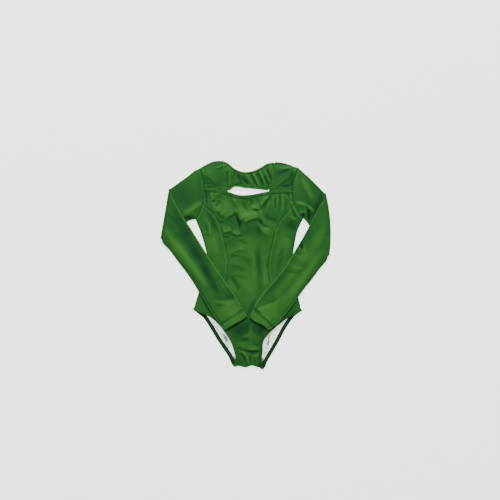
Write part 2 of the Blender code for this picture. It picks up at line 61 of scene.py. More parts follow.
# The photograph: mm for each of its pixels, its side, and the pixel over the row frame's origin
PX = 3.4
PHOTO_SIDE = 500
PHOTO_X, PHOTO_Y = 245.75, 264.75

# Cloth and sewing
WALL = 1.0
BAND_WALL = 1.6
SEAM = -0.25
LAYER_GAP = 0.3
LEG_BAND = 13.0
NECK_BAND = 6.0
CUTOUT_BAND = 5.0
CHEST_BAND = 12.0
HEM = 22.0
HEM_GAP = 5.6
HEM_LINES = (HEM - 1.0, HEM + HEM_GAP - 1.0)
STITCH_PITCH = 3.3
STITCH_SIZE = (2.5, 0.32)

# Heights of the layers, and how the cloth rounds off at its edges and folds
BACK_TOP = WALL
LINING_LOW = BACK_TOP + LAYER_GAP
LINING_TOP = LINING_LOW + WALL
SEAM_LOW = BACK_TOP + LAYER_GAP
FRONT_LOW = LINING_TOP + 0.4
BAND_FRONT_LOW = 2.1
HIP_LIFT = -105
CROWN = 4.0
EDGE_ROLL = 9.0
SLEEVE_HALF = (FRONT_LOW + WALL) / 2
FOLD_RADIUS = 2.6
FOLD_STEPS = 12
SLEEVE_CLEAR = 0.6
DRAPE = 26.0

# How much taller and broader the creases are made than their tables say
RELIEF = 1.25
SPREAD = 1.2

# The studio, in metres and watts. The floor and the lining glow, or this light would leave them grey.
FLOOR_HALF, FLOOR_DROP = 6.0, 0.0003
FLOOR_GLOW = 2.0
LINING_GLOW = 1.2
SKY = 0.18
LENS, SENSOR = 85, 36
# name, place, target, size, power
LAMPS = [
    ("key", (0.5, 5.4, 3.5), (0, 0, 0), 1.8, 540),
    ("side", (-2.4, 0.5, 1.9), (0, 0, 0), 1.4, 18),
    ("overhead", (0.1, -0.9, 2.6), (0, -0.2, 0), 1.8, 8),
]

# Outlines, as x, y
SHOULDER_LEFT = [(-81, 354), (-111, 351), (-139, 338), (-158, 327)]
SHOULDER_RIGHT = [(95, 348), (107, 349), (128, 346), (149, 340), (166, 333), (181, 328)]
NECK_FRONT = [
    (-81, 354), (-60, 345), (-38, 327), (-16, 317), (3, 315), (25, 319), (49, 330), (71, 343), (95, 348),
]
NECK_BACK = [
    (-81, 354), (-64, 334), (-60, 300), (-61, 255), (-52, 210), (-25, 178), (8, 168),
    (41, 178), (69, 210), (79, 255), (78, 300), (81, 330), (95, 348),
]
CHEST_LINE = [
    (-142, 262), (-101, 258), (-57, 247), (-22, 237), (16, 238), (65, 247), (90, 252), (117, 254), (160, 255),
]
CUTOUT_TOP = [(-57, 248), (-49, 257), (-40, 263), (-28, 264), (-6, 260), (38, 256), (78, 251)]
SIDE_LEFT = [
    (-171, 154), (-156, 118), (-145, 84), (-137, 54), (-131, 25), (-132, -11), (-143, -52),
    (-159, -91), (-169, -123), (-179, -152),
]
SIDE_RIGHT = [
    (196, 157), (186, 139), (175, 113), (169, 86), (162, 44), (159, 9), (161, -35), (168, -72),
    (178, -110), (186, -140), (191, -157),
]
PRINCESS_LEFT = [
    (-149, 207), (-112, 174), (-88, 136), (-74, 85), (-64, 33), (-61, 6), (-67, -58), (-76, -103),
    (-81, -150), (-82, -194),
]
PRINCESS_RIGHT = [
    (168, 206), (138, 174), (114, 144), (100, 112), (91, 75), (81, 33), (77, 7), (77, -12), (83, -58),
    (91, -103), (97, -154), (99, -196),
]
LEG_FRONT_LEFT = [
    (-179, -152), (-142, -168), (-115, -182), (-88, -208), (-65, -239), (-53, -258), (-44, -280),
    (-37, -304), (-34, -322), (-41, -346),
]
LEG_FRONT_RIGHT = [
    (191, -157), (147, -179), (125, -194), (93, -220), (71, -243), (62, -256), (58, -272), (58, -293),
    (55, -315), (54, -331), (61, -354),
]
LEG_BACK_LEFT = [
    (-179, -152), (-167, -162), (-149, -176), (-137, -190), (-120, -217), (-95, -258), (-77, -285),
    (-59, -312), (-49, -335), (-41, -346),
]
LEG_BACK_RIGHT = [
    (191, -157), (177, -166), (164, -177), (149, -197), (132, -224), (111, -264), (87, -305), (74, -328),
    (68, -343), (61, -354),
]
CROTCH_FOLD = [(-41, -346), (-26, -344), (-1, -349), (20, -343), (40, -348), (61, -354)]
# Armholes: shoulder tip x, y, armpit x, y, and how far they bow sideways
ARMHOLE_LEFT = (-158, 327, -171, 154, 21)
ARMHOLE_RIGHT = (181, 328, 196, 157, -28)

# Sleeve sections, to the fold and from it: edge x, y, under x, y, bow, puff, and the share of the row used
UPPER_LEFT = [
    (-158, 327, -171, 154, 21, 0.0, 1),
    (-176, 318, -188, 151, 16, 0.5, 1),
    (-200, 299, -212, 137, 8, 0.8, 1),
    (-232, 276, -248, 115, 2, 0.5, 1),
    (-257, 258, -286, 88, 0, 0.0, 1),
]
LOWER_LEFT = [
    (-254, 242, -281, 72, 0, 0.3, 1),
    (-238, 208, -262, 52, 0, 0.9, 1),
    (-212, 163, -243, 27, 0, 1.4, 1),
    (-180, 113, -218, -6, 0, 1.6, 1),
    (-140, 49, -190, -44, 0, 1.6, 1),
    (-100, -12, -161, -90, 0, 1.5, 1),
    (-67, -58, -139, -128, 0, 1.4, 1),
    (-33, -108, -117, -164, 0, 1.3, 1),
    (-13, -144, -93, -198, 0, 1.2, 1),
    (5, -174, -75, -225, 0, 1.0, 1),
]
UPPER_RIGHT = [
    (181, 328, 196, 157, -28, 0.0, 1),
    (197, 313, 210, 141, -19, 0.5, 1),
    (222, 290, 230, 108, -8, 0.8, 1),
    (250, 262, 257, 65, 4, 0.5, 1),
    (268, 243, 280, 30, 10, 0.0, 1),
]
LOWER_RIGHT = [
    (265, 221, 274, 13, 9, 0.3, 1),
    (251, 201, 257, -7, 6, 0.9, 1),
    (226, 153, 239, -31, 2, 1.4, 1),
    (200, 103, 218, -59, 0, 1.6, 1),
    (169, 51, 196, -86, 0, 1.6, 1),
    (136, -3, 172, -119, 0, 1.5, 1),
    (104, -43, 148, -153, 0, 1.4, 1),
    (72, -80, 127, -179, 0, 1.3, 1),
    (39, -122, 104, -206, 0, 1.2, 1),
    (14, -176, 78, -222, 0, 1.0, 1),
]

# Creases placed on the photograph: start x, y, middle x, y, end x, y and width in its pixels, then
# height in mm, and lean from -1 to 1, which is how much broader the side to the left of travel is.
YOKE_CREASES = [
    (237.6, 171, 239, 178, 242.6, 187.5, 1.5, -2.0, 0),
    (240.8, 172, 241.4, 174.2, 242, 176.4, 0.7, 1.3, 0),
    (240.6, 176, 245, 181, 249.6, 186.4, 1.5, -1.9, 0),
    (243.4, 171.5, 248, 177.4, 253.2, 186.6, 0.9, 1.5, 0),
    (246.6, 172, 247.2, 174, 248.4, 176, 0.6, -1.0, 0),
    (249.6, 171.6, 253.4, 179.8, 257.6, 188, 0.95, -2.6, 0),
    (253, 171.5, 255.8, 179.4, 260, 188, 0.9, 1.6, 0),
    (256, 170, 259.4, 178, 264.8, 188, 1.05, -2.7, 0),
    (259.6, 169, 262.4, 177, 267, 188.6, 0.9, 1.4, 0),
    (260.8, 169.4, 262.6, 172.4, 264, 175.4, 0.6, -1.3, 0),
    (263.2, 174, 266.2, 180.6, 269, 189, 0.9, -2.3, 0),
    (263.4, 168, 267, 175.6, 269.6, 185, 0.8, 1.2, 0),
    (265.2, 166.6, 268.8, 174, 272.6, 183.4, 1.0, -2.0, 0),
    (234.4, 169, 234.8, 174, 235, 179, 0.8, -0.9, 0),
    (233, 184, 238, 181.4, 243, 184, 1.4, 0.9, 0),
    (230.2, 165, 229.4, 177, 229.6, 190, 2.6, 1.5, 0.7),
    (227.6, 166, 226.8, 177, 227.4, 190, 1.2, -0.8, 0),
    (270.4, 166, 273, 177, 272.2, 190, 1.6, 0.7, 0),
    (214.5, 168.4, 220.6, 167.2, 227, 164.4, 1.1, 1.3, 0.4),
    (214, 165.8, 218.6, 165.4, 222, 164.4, 0.8, -0.5, 0),
    (225, 173, 227.8, 170, 230.4, 166.6, 1.4, 1.3, 0),
    (201, 172.4, 210.6, 178, 218.4, 187.4, 3.2, 1.4, 0.7),
    (198.6, 168, 201.4, 177, 206.6, 186, 1.6, -0.9, 0),
    (206, 190, 210, 187.4, 222, 186.8, 1.1, -0.7, 0),
    (272, 190.6, 281, 182.6, 292, 174.4, 3.0, 1.3, 0.7),
    (274, 177, 282, 173, 291, 171.6, 2.2, -1.0, 0),
    (278, 170.6, 287.6, 168.6, 297.6, 166.4, 1.2, 1.2, 0.4),
    (272, 166.4, 281, 165.2, 290, 166, 1.6, -0.9, 0),
    (293.4, 170, 292.4, 180, 292.6, 192, 1.5, -1.9, 0),
    (279, 188.6, 285.4, 186.8, 292, 187, 1.6, -1.0, 0),
]
CHEST_CREASES = [
    (205.8, 189, 206.2, 196, 207.2, 206, 0.9, -1.8, 0),
    (208.6, 190, 208.8, 195, 209.4, 200, 0.6, -1.0, 0),
    (211.6, 191, 212.4, 196, 213.4, 201, 1.0, 1.2, 0),
    (203.6, 190, 203.8, 196, 204.4, 203, 0.9, 1.0, 0),
    (212.6, 203.6, 213.8, 201.6, 215.4, 200.8, 1.0, -1.6, 0),
    (214, 196, 218.4, 193.8, 224, 194.4, 1.3, 1.3, 0),
    (220.4, 199.6, 217.8, 204.5, 215.4, 208.4, 1.3, -1.5, 0),
    (212, 211.6, 218.6, 211.2, 222.6, 219, 2.7, 2.2, 0.66),
    (222.6, 219.8, 230.4, 215, 236.4, 209, 3.6, 2.3, 0.68),
    (224.4, 193, 226, 203, 224.6, 216, 2.0, 0.9, 0),
    (235, 207, 238.4, 216, 242.4, 223.8, 3.8, 3.2, 0.68),
    (241.4, 224.6, 250.5, 219.2, 262.4, 216.6, 4.6, 3.4, 0.7),
    (236.6, 209, 238.4, 219, 241.6, 232, 1.5, -1.7, 0),
    (231, 196, 236.6, 204, 240.6, 213, 2.4, 1.5, 0.4),
    (242.6, 201.4, 245, 207.5, 248, 213.4, 1.3, -1.9, 0),
    (250.6, 199, 251.8, 202.4, 254, 206, 1.0, -1.1, 0),
    (256.4, 198, 257.6, 200.6, 259.4, 203.4, 0.9, -1.1, 0),
    (245, 199, 249, 198.4, 253, 198.8, 0.8, 0.8, 0),
    (249.6, 206.8, 255.4, 208.8, 261, 208.4, 2.0, 2.3, 0.66),
    (251.8, 210.6, 256.4, 211.4, 260, 216, 1.1, -1.2, 0),
    (259.8, 209.6, 263.4, 203.4, 270.6, 194.6, 1.9, 2.8, 0.65),
    (272.2, 194, 266.4, 203.2, 262.6, 212.6, 1.4, -2.0, 0),
    (260.8, 208, 261.2, 216, 266.8, 225, 1.8, 1.7, 0),
    (260, 218.6, 263.2, 225.4, 270.6, 227.6, 1.3, -2.4, 0),
    (265, 215, 270, 219.6, 279, 221.6, 1.9, -1.6, 0),
    (258.4, 220.4, 261, 229.6, 271.4, 236.4, 3.8, 1.8, 0.68),
    (273, 224, 275.4, 228, 274.6, 234, 1.4, 0.9, 0),
    (272, 193, 273.2, 199, 274.2, 208, 0.9, 1.3, 0),
    (273.8, 197, 275, 203, 276, 211, 0.8, -1.3, 0),
    (275.8, 191, 277, 197, 277.8, 207, 0.9, 1.4, 0),
    (280.4, 193, 280.2, 201, 279.6, 213, 0.9, -1.2, 0),
    (282.2, 191, 282.6, 201, 281.6, 215, 0.9, 1.4, 0),
    (286.3, 198, 286.3, 207, 285.4, 216, 1.1, -1.5, 0),
    (286.6, 192, 288, 195.4, 289.8, 197.6, 0.8, -1.4, 0),
    (287.4, 190.6, 290.2, 193, 292, 200, 0.9, 1.5, 0),
    (289, 203.4, 291.6, 203, 293.6, 204.4, 0.8, 1.0, 0),
    (221.6, 233, 227.4, 231.6, 233, 230.2, 2.3, 2.4, 0.66),
    (231.6, 230, 236.2, 235, 242.4, 232.8, 2.2, 2.6, 0.66),
    (220, 221, 221.8, 222.6, 224, 222, 1.4, -1.3, 0),
    (223, 236.4, 226, 237.6, 229.4, 236.6, 1.1, -0.9, 0),
    (228, 240.4, 234.4, 237.4, 242, 240.2, 1.4, 0.9, 0),
    (238, 240.4, 242.5, 242.4, 248, 246, 1.4, -1.2, 0),
    (226.6, 256, 237.5, 250, 249, 249.6, 1.9, 1.4, 0.4),
    (228.4, 257.2, 234, 257, 239.4, 255.8, 1.3, -1.0, 0),
    (255.2, 246, 258.2, 262, 260, 280, 2.6, -1.3, 0),
    (259.4, 268, 260.4, 283, 258.8, 300, 3.2, -1.6, 0),
    (252.2, 248, 254.2, 264, 255.2, 286, 2.2, 1.2, 0),
    (263, 252, 264.2, 268, 264.8, 290, 2.3, 1.4, 0),
    (229.4, 275.6, 235.6, 283.4, 239.8, 293, 1.7, -2.0, 0),
    (226.8, 279.6, 232, 288, 237, 297, 1.8, 1.2, 0),
    (230, 272.6, 241, 274.8, 252, 276, 1.9, 0.9, 0.4),
    (230, 261, 240, 265.6, 250.6, 269, 2.2, 0.8, 0.4),
    (240, 278, 246, 286, 250, 296, 2.6, 0.9, 0),
    (243, 256, 248, 262, 251, 270, 2.4, -0.8, 0),
    (205, 209, 211.4, 221.5, 218, 236.4, 1.9, -1.6, 0),
    (207.6, 221, 209.2, 226, 210.2, 237, 1.3, 1.4, 0),
    (202.8, 231.8, 206, 232.8, 209, 231, 1.2, 1.2, 0),
    (206.4, 224.6, 207, 231, 208, 238.6, 1.0, -1.1, 0),
    (212, 236, 215, 246, 216, 258, 2.4, 1.0, 0),
    (285.4, 222, 292, 228.2, 299, 229.4, 3.2, -1.3, 0),
    (288, 214, 293, 218.6, 299, 220, 1.8, 1.4, 0),
    (284.8, 244, 280.2, 259, 277.2, 277, 2.8, -1.0, 0),
    (281, 243, 276.8, 258, 274.4, 274, 2.2, 0.8, 0),
    (290, 236, 287.4, 248, 285.4, 260, 2.8, 1.2, 0),
    (294, 206, 296.4, 213, 300.4, 219.4, 1.0, 1.4, 0),
    (291.6, 205, 293.6, 213, 298, 221, 0.9, -1.4, 0),
]
CROTCH_CREASES = [
    (239.4, 340.6, 245, 340, 250, 341.6, 1.7, -1.6, 0),
    (235, 344.6, 248, 349.8, 261, 347.6, 2.4, 2.7, 0.62),
    (252.4, 343, 256, 344.8, 260.2, 345.8, 1.1, -1.3, 0),
    (235.6, 346.8, 245.6, 349.8, 253, 354, 1.7, -2.1, 0),
    (249, 353.4, 254.5, 353, 259.8, 350.8, 1.6, -1.6, 0),
    (238.2, 352, 243.4, 357, 246.2, 368, 1.1, -1.7, 0),
    (238.2, 350.4, 246.4, 356.6, 249.2, 368, 1.1, 1.7, 0),
    (250.2, 355, 250.4, 360, 250.4, 368, 1.0, -1.4, 0),
    (252.6, 357.6, 256, 356, 259.6, 354.6, 1.1, 1.2, 0.3),
    (254.2, 358.6, 255, 362, 256.2, 368, 0.9, -1.2, 0),
    (240, 359, 241.6, 362.6, 243.4, 368, 0.9, -1.0, 0),
    (250.4, 322, 250.7, 330, 250.2, 336, 2.2, 1.4, 0),
    (242.6, 337.6, 250, 334.8, 258.6, 335.8, 1.8, 1.0, 0),
]
UPPER_CREASES_LEFT = [
    (182, 214.4, 192, 210, 204, 200.6, 2.4, 1.9, 0.3),
    (183, 219.4, 189.6, 217.2, 197, 219.6, 1.4, -2.4, 0),
]
UPPER_CREASES_RIGHT = [
    (293.6, 203.4, 303.6, 205, 315.6, 213.6, 1.4, 2.2, 0),
    (300, 206.6, 307.8, 208.8, 308.6, 222, 1.2, -2.6, 0),
    (298.6, 213.6, 302.4, 212, 306, 212.4, 0.9, 1.7, 0),
    (301, 214, 303, 215.6, 305, 217.4, 1.3, -2.4, 0),
    (299.6, 173, 306.8, 188, 315.4, 205, 3.2, 1.7, 0.3),
    (315, 178, 320.4, 190, 320.4, 203, 2.2, -1.2, 0),
]
LOWER_CREASES_LEFT = [
    (162, 206, 184, 241, 207, 275, 5.2, -3.2, 0),
    (199, 262, 210, 281, 220, 300, 4.0, -2.4, 0),
    (172, 196, 194, 232, 214, 268, 3.6, 1.4, 0),
    (206, 256, 217, 276, 230, 294, 3.4, 1.2, 0),
    (162, 230, 180.5, 252, 209, 292, 2.7, 2.7, 0),
    (209, 297.6, 225, 299, 243, 294.4, 3.0, -1.5, 0.5),
    (217, 304, 229, 304.4, 242, 300, 2.4, 0.8, 0),
    (214.6, 305, 220.8, 305.4, 227.4, 304.6, 1.0, -0.7, 0),
    (163, 232, 166, 238, 170, 243, 1.8, -0.8, 0),
    (221, 314, 230, 315.6, 240, 312, 1.6, 0.6, 0),
]
LOWER_CREASES_RIGHT = [
    (299.8, 242.6, 301.4, 246, 302.4, 250.6, 1.1, -2.2, 0),
    (296.6, 246, 299, 248.4, 301.6, 249.8, 0.9, 1.6, 0),
    (303, 244, 304.4, 250, 306.4, 254.4, 1.0, 1.0, 0),
    (296, 252, 298.6, 253.6, 302, 254.6, 0.9, -1.0, 0),
    (312, 254, 295, 280.6, 274, 303, 4.6, -3.0, 0),
    (327, 244, 309.6, 271, 288, 300, 3.8, 2.3, 0),
    (295, 256, 279, 275, 260, 296, 2.8, 1.3, 0),
    (250, 306.8, 264, 305, 282, 296, 3.0, -1.6, 0.5),
    (288, 263, 296, 268, 306, 268, 1.2, 0.7, 0),
    (286, 270, 294, 272.6, 303, 272, 1.2, -0.6, 0),
    (325, 222, 318, 240, 310, 256, 3.6, 1.0, 0),
    (258, 313, 266, 318, 272, 326, 1.6, 0.8, 0),
    (270, 318, 274, 319, 279, 317, 1.4, -0.7, 0),
]
# Painted light and painted shade on the cloth where the photograph has it: centre x, y and reach across and up
# in its pixels, turn in degrees (above 0 leans up to the left), and amount, below 0 for painted shade
BODY_SHADES = [
    (249, 327, 22, 8.5, 0, -1.3),
    (239, 334, 5, 6, 20, -0.7),
    (261, 333, 4, 7, -10, -0.9),
    (250.4, 332, 2.2, 4, 0, 0.7),
    (250, 336.4, 7, 1.6, 0, 0.8),
    (250, 342, 14, 3, 0, 0.1),
    (246, 350, 10, 2.4, -8, 0.3),
    (252, 361, 12, 4, 0, 0.3),
    (238, 361, 5, 5, 0, -0.7),
    (250, 286, 16, 16, 0, 0.5),
    (246, 244, 12, 12, 0, 0.5),
    (281, 178, 12, 10, 0, -0.7),
    (203, 177, 3.4, 9, 15, -0.4),
    (210, 184, 8, 4, 0, -0.3),
    (207, 174, 8, 3, -25, 0.5),
    (215, 177, 13, 11, 0, -0.6),
    (244, 181, 6, 5, 0, -0.7),
    (234, 176, 5, 8, 0, -0.4),
    (285, 172, 9, 4, 0, -0.8),
    (286, 185, 7, 3, 20, -0.2),
    (292.4, 182, 2.6, 10, 0, -0.5),
    (292.4, 191, 3, 2.4, 0, -1.4),
    (238.6, 219, 2.2, 9, 8, -1.0),
    (251, 230, 10, 6, 0, -0.9),
    (259.6, 228, 2.4, 8, -8, -1.0),
    (249, 213, 9, 7, 0, 1.0),
    (226, 206, 8, 9, 0, 0.5),
    (231, 220, 7, 6, 0, -0.5),
    (268, 230, 6, 4, -30, 0.5),
    (256, 206, 4, 3, 0, 0.4),
    (272, 216, 7, 3, -15, -0.6),
    (234, 236, 9, 2.4, 0, -0.6),
    (258.6, 272, 3, 22, 0, -0.3),
    (265, 256, 5, 14, 0, 0.35),
    (250, 262, 5, 22, 0, 0.2),
    (292, 224, 7, 7, 0, -0.8),
    (206, 194, 2.6, 8, 0, -0.8),
    (213, 219, 2.6, 12, 22, -0.5),
    (209, 246, 6, 11, -15, 0.5),
    (216, 256, 4, 16, 0, 0.2),
    (283, 245, 4, 18, -12, 0.3),
    (279, 262, 2.6, 12, -12, -0.3),
    (211, 308, 4, 12, 38, -1.2),
    (288, 311, 4, 12, -40, -1.3),
    (251, 308, 1.8, 9, -28, -1.3),
]
LINING_SHADES = [
    (213.5, 325.5, 1.2, 3.2, 40, -2.0),
    (218, 329.5, 1.0, 2.6, 20, -1.6),
    (221, 334, 1.0, 3.4, 60, -1.4),
    (226.2, 339, 2.0, 6.5, 28, -2.3),
    (223, 343, 1.0, 2.8, 60, -1.5),
    (227, 348, 1.4, 3.0, 10, -1.7),
    (230.6, 354, 1.7, 5, 25, -1.9),
    (234.4, 359.6, 2.6, 3.4, 20, -3.4),
    (210, 321, 1.0, 2.4, 60, -1.2),
    (268.3, 342, 1.1, 7.5, -8, -2.3),
    (265.6, 341, 2.0, 8, -5, -0.9),
    (274.5, 330, 3.4, 1.0, 10, -1.8),
    (279, 324, 2.8, 1.0, 30, -1.5),
    (271, 334, 1.1, 3, -30, -0.9),
    (264.5, 352, 1.0, 3.4, 20, -1.4),
    (262.2, 360.6, 2.2, 3.6, 0, -3.2),
    (283, 318.6, 2.2, 1.0, 35, -1.4),
]
UPPER_SHADES_LEFT = [
    (181, 198, 22, 15, -25, -0.8),
    (193, 209, 11, 3.6, 35, 0.7),
    (190, 218.6, 6, 1.9, 5, -2.4),
    (200, 186, 3, 10, 0, -0.5),
]
UPPER_SHADES_RIGHT = [
    (316.6, 208, 3.4, 15, -29, -1.6),
    (312, 200, 6, 14, -29, -0.6),
    (308, 190, 4, 16, 28, 0.5),
    (305, 206, 9, 1.8, -28, 1.0),
    (308.4, 215, 1.6, 5, 0, -2.0),
    (303, 216, 1.8, 1.8, 0, -2.4),
    (296.6, 180, 1.4, 9, 0, 0.5),
    (311, 180, 12, 3, -40, -0.5),
    (308, 195, 14, 18, 0, -0.35),
]
LOWER_SHADES_LEFT = [
    (185, 256, 4.6, 34, 38, 0.9),
    (193, 244, 5.4, 38, 26, -1.0),
    (177, 216, 4, 17, 28, -0.8),
    (203, 262, 5, 18, 28, -0.4),
    (212, 277, 6, 16, 30, -0.6),
    (224, 291, 9, 4, 10, -0.5),
    (232, 310, 14, 7, 28, 1.5),
    (221, 305.4, 6, 1.4, 0, -0.5),
]
LOWER_SHADES_RIGHT = [
    (300, 272, 9, 32, -37, 0.7),
    (280, 278, 6, 26, -45, -1.0),
    (268, 312, 13, 8, -35, 1.5),
    (303, 257, 6, 4, 0, 0.5),
    (301.4, 245.6, 1.6, 3, 0, -1.6),
    (312, 226, 8, 16, -30, -0.25),
    (257.6, 311, 5, 0.9, -28, -1.2),
    (262, 316.4, 7, 0.8, -30, -0.9),
]
# Rows of small puckers that elastic or thread pulls up beside a line: line, reach, height, pitch in mm, seed
PUCKERS = [
    (NECK_FRONT, 9.0, 0.55, 7.0, 3),
    (CUTOUT_TOP, 8.0, 0.50, 8.0, 5),
    (CHEST_LINE, 15.0, 0.45, 9.0, 7),
    (PRINCESS_LEFT, 7.0, 0.45, 13.0, 11),
    (PRINCESS_RIGHT, 7.0, 0.40, 14.0, 13),
    (LEG_FRONT_LEFT, 17.0, 0.40, 11.0, 17),
    (LEG_FRONT_RIGHT, 17.0, 0.40, 11.0, 19),
]
# Sunk lines beside a binding or a band: line, distance from it, depth, in mm
EDGE_LINES = [
    (NECK_FRONT, 8.2, 1.0),
    (CUTOUT_TOP, 7.0, 0.9),
    (CHEST_LINE, 1.0, 0.5),
    (CHEST_LINE, 13.5, 0.7),
]


def photo(points):
    """Row-frame millimetres of points given in pixels of the photograph."""
    p = np.asarray(points, float)
    return np.stack([(p[..., 0] - PHOTO_X) * PX, (PHOTO_Y - p[..., 1]) * PX], axis=-1)


def spline(points, per_span=24):
    """Evenly travelled smooth curve through the points: a function of 0 to 1."""
    p = np.array(points, float)
    ends = np.vstack([2 * p[0] - p[1], p, 2 * p[-1] - p[-2]])
    t = np.linspace(0, 1, per_span, endpoint=False)[:, None]
    runs = []
    for a, b, c, d in zip(ends, ends[1:], ends[2:], ends[3:]):
        runs.append(
            0.5 * (2 * b + (c - a) * t + (2 * a - 5 * b + 4 * c - d) * t**2 + (3 * b - 3 * c + d - a) * t**3)
        )
    q = np.vstack(runs + [p[-1:]])
    far = np.concatenate([[0], np.cumsum(np.linalg.norm(np.diff(q, axis=0), axis=1))])

    def at(share):
        where = np.clip(np.asarray(share, float), 0, 1) * far[-1]
        return np.stack([np.interp(where, far, column) for column in q.T], axis=-1)

    return at


def part_of(curve, first, last, count):
    """Count points of a curve between two shares of its length."""
    return curve(np.linspace(first, last, count))


def beside(points, distance):
    """The points moved sideways, to the left of their direction of travel."""
    along = np.gradient(points, axis=0)
    along /= np.linalg.norm(along, axis=1)[:, None]
    return points + distance * np.stack([-along[:, 1], along[:, 0]], axis=1)


def bowed(row, shares):
    """Points along an armhole or sleeve row. The row's bow pushes its middle out sideways."""
    ax, ay, bx, by, bow = row
    v = np.linspace(0, 1, shares) if isinstance(shares, int) else shares
    a, b = np.array((ax, ay), float), np.array((bx, by), float)
    chord = (b - a) / np.linalg.norm(b - a)
    side = np.array((-chord[1], chord[0]))
    return a + np.outer(v, b - a) + np.outer(4 * v * (1 - v) * bow, side)


def armhole(row, first_y, last_y, count):
    """Points of an armhole between two heights."""
    y = np.linspace(first_y, last_y, count)
    line = bowed(row, 241)[::-1]
    return np.stack([np.interp(y, line[:, 1], line[:, 0]), y], axis=1)


def band_lines(back_edge, front_edge, width, side, count):
    """A band's edge and inner line on the back, the same on the front, and the edges of the two panels."""
    back = part_of(spline(back_edge), 0, 1, count)
    front = part_of(spline(front_edge), 0, 1, count)
    back_inner, front_inner = beside(back, side * width), beside(front, side * width)
    for end, near in ((0, slice(0, 6)), (-1, slice(-6, None))):
        middle = (back_inner[end] + front_inner[end]) / 2
        ease = np.linspace(1, 0, 6)[:, None] if end == 0 else np.linspace(0, 1, 6)[:, None]
        for inner in (back_inner, front_inner):
            inner[near] += ease * (middle - inner[end])
    panels = [
        inner + SEAM * (inner - edge) / np.linalg.norm(inner - edge, axis=1)[:, None]
        for edge, inner in ((back, back_inner), (front, front_inner))
    ]
    return back, back_inner, front, front_inner, panels[0], panels[1]


def coons(left, right, bottom, top):
    """Grid of points inside four edges. left and right run up, bottom and top from left to right."""
    rows, columns = len(left), len(bottom)
    v = np.linspace(0, 1, rows)[:, None, None]
    u = np.linspace(0, 1, columns)[None, :, None]
    across = left[:, None] * (1 - u) + right[:, None] * u
    up = bottom[None] * (1 - v) + top[None] * v
    corners = (bottom[0] * (1 - u) + bottom[-1] * u) * (1 - v) + (top[0] * (1 - u) + top[-1] * u) * v
    return across + up - corners


def x_at(points, y, flare):
    """Across position of a side edge at a height. Past its ends the edge runs away from the body."""
    p = np.array(sorted(points, key=lambda q: q[1]), float)
    inside = np.interp(y, p[:, 1], p[:, 0])
    beyond = np.maximum(0, p[0, 1] - y) + np.maximum(0, y - p[-1, 1])
    return inside + flare * beyond


def y_at(points, x):
    p = np.array(sorted(points), float)
    return np.interp(x, p[:, 0], p[:, 1])


def smooth(t):
    """A soft step from 0 to 1."""
    t = np.clip(t, 0, 1)
    return t * t * (3 - 2 * t)


def nearest(x, y, line):
    """Distance to a line of points, which side of it (1 left, -1 right) and the length along it."""
    best = np.full(x.shape, 1e9)
    side = np.ones(x.shape)
    along = np.zeros(x.shape)
    run = 0.0
    for a, b in zip(line, line[1:]):
        d = b - a
        length = math.hypot(*d)
        s = np.clip(((x - a[0]) * d[0] + (y - a[1]) * d[1]) / length**2, 0, 1)
        far = np.hypot(x - a[0] - s * d[0], y - a[1] - s * d[1])
        closer = far < best
        best = np.where(closer, far, best)
        turn = np.sign(d[0] * (y - a[1]) - d[1] * (x - a[0]))
        side = np.where(closer, turn, side)
        along = np.where(closer, run + s * length, along)
        run += length
    return best, side, along, run


def creases(x, y, table):
    """Sum of the ridges and hollows listed in a table."""
    total = np.zeros(x.shape)
    for x0, y0, x1, y1, x2, y2, width, height, lean in table:
        a, m, b = photo([(x0, y0), (x1, y1), (x2, y2)])
        width = width * PX * SPREAD
        reach = 2.6 * width * (1 + abs(lean))
        low, high = np.minimum(np.minimum(a, m), b) - reach, np.maximum(np.maximum(a, m), b) + reach
        near = (x > low[0]) & (x < high[0]) & (y > low[1]) & (y < high[1])
        if not near.any():
            continue
        t = np.linspace(0, 1, 11)[:, None]
        line = (1 - t) ** 2 * a + 2 * t * (1 - t) * (2 * m - (a + b) / 2) + t**2 * b
        far, side, along, run = nearest(x[near], y[near], line)
        share = along / run
        fade = smooth(share / 0.32) * smooth((1 - share) / 0.32)
        total[near] += RELIEF * height * fade * np.exp(-((far / (width * (1 + lean * side))) ** 2))
    return total


def shades(x, y, table):
    """Sum of a table's areas of painted light and painted shade."""
    total = np.zeros(x.shape)
    for px, py, across, up, turn, amount in table:
        cx, cy = photo((px, py))
        c, s = math.cos(math.radians(turn)), math.sin(math.radians(turn))
        u, v = (x - cx) * c + (y - cy) * s, (y - cy) * c - (x - cx) * s
        total += amount * np.exp(-((u / (across * PX)) ** 2) - (v / (up * PX)) ** 2)
    return total


def wave_noise(t, seed):
    """Smooth one-dimensional noise between -1 and 1, with a new value at each whole number."""
    values = np.random.default_rng(seed).uniform(-1, 1, 400)
    k = np.floor(t).astype(int)
    f = smooth(t - k)
    return values[k % 400] * (1 - f) + values[(k + 1) % 400] * f


def soft_noise(x, y, size, seed):
    """Smooth noise over the plane between -1 and 1, with cells of that many mm."""
    values = np.random.default_rng(seed).uniform(-1, 1, (97, 97))
    i, j = np.floor(x / size).astype(int), np.floor(y / size).astype(int)
    u, v = smooth(x / size - i), smooth(y / size - j)
    a, b = values[i % 97, j % 97], values[(i + 1) % 97, j % 97]
    c, d = values[i % 97, (j + 1) % 97], values[(i + 1) % 97, (j + 1) % 97]
    return (a * (1 - u) + b * u) * (1 - v) + (c * (1 - u) + d * u) * v


def seam_distance(x, y):
    """How far inside the outline of the body a place is, in mm."""
    left = x - x_at(SIDE_LEFT, y, -2.0)
    right = x_at(SIDE_RIGHT, y, 2.0) - x
    shoulders = SHOULDER_LEFT[::-1] + [(-60, 420), (75, 420)] + SHOULDER_RIGHT
    top = y_at(shoulders, x) - y
    bottom = y - y_at(CROTCH_FOLD, x)
    return np.minimum(np.minimum(left, right), np.minimum(top, bottom))


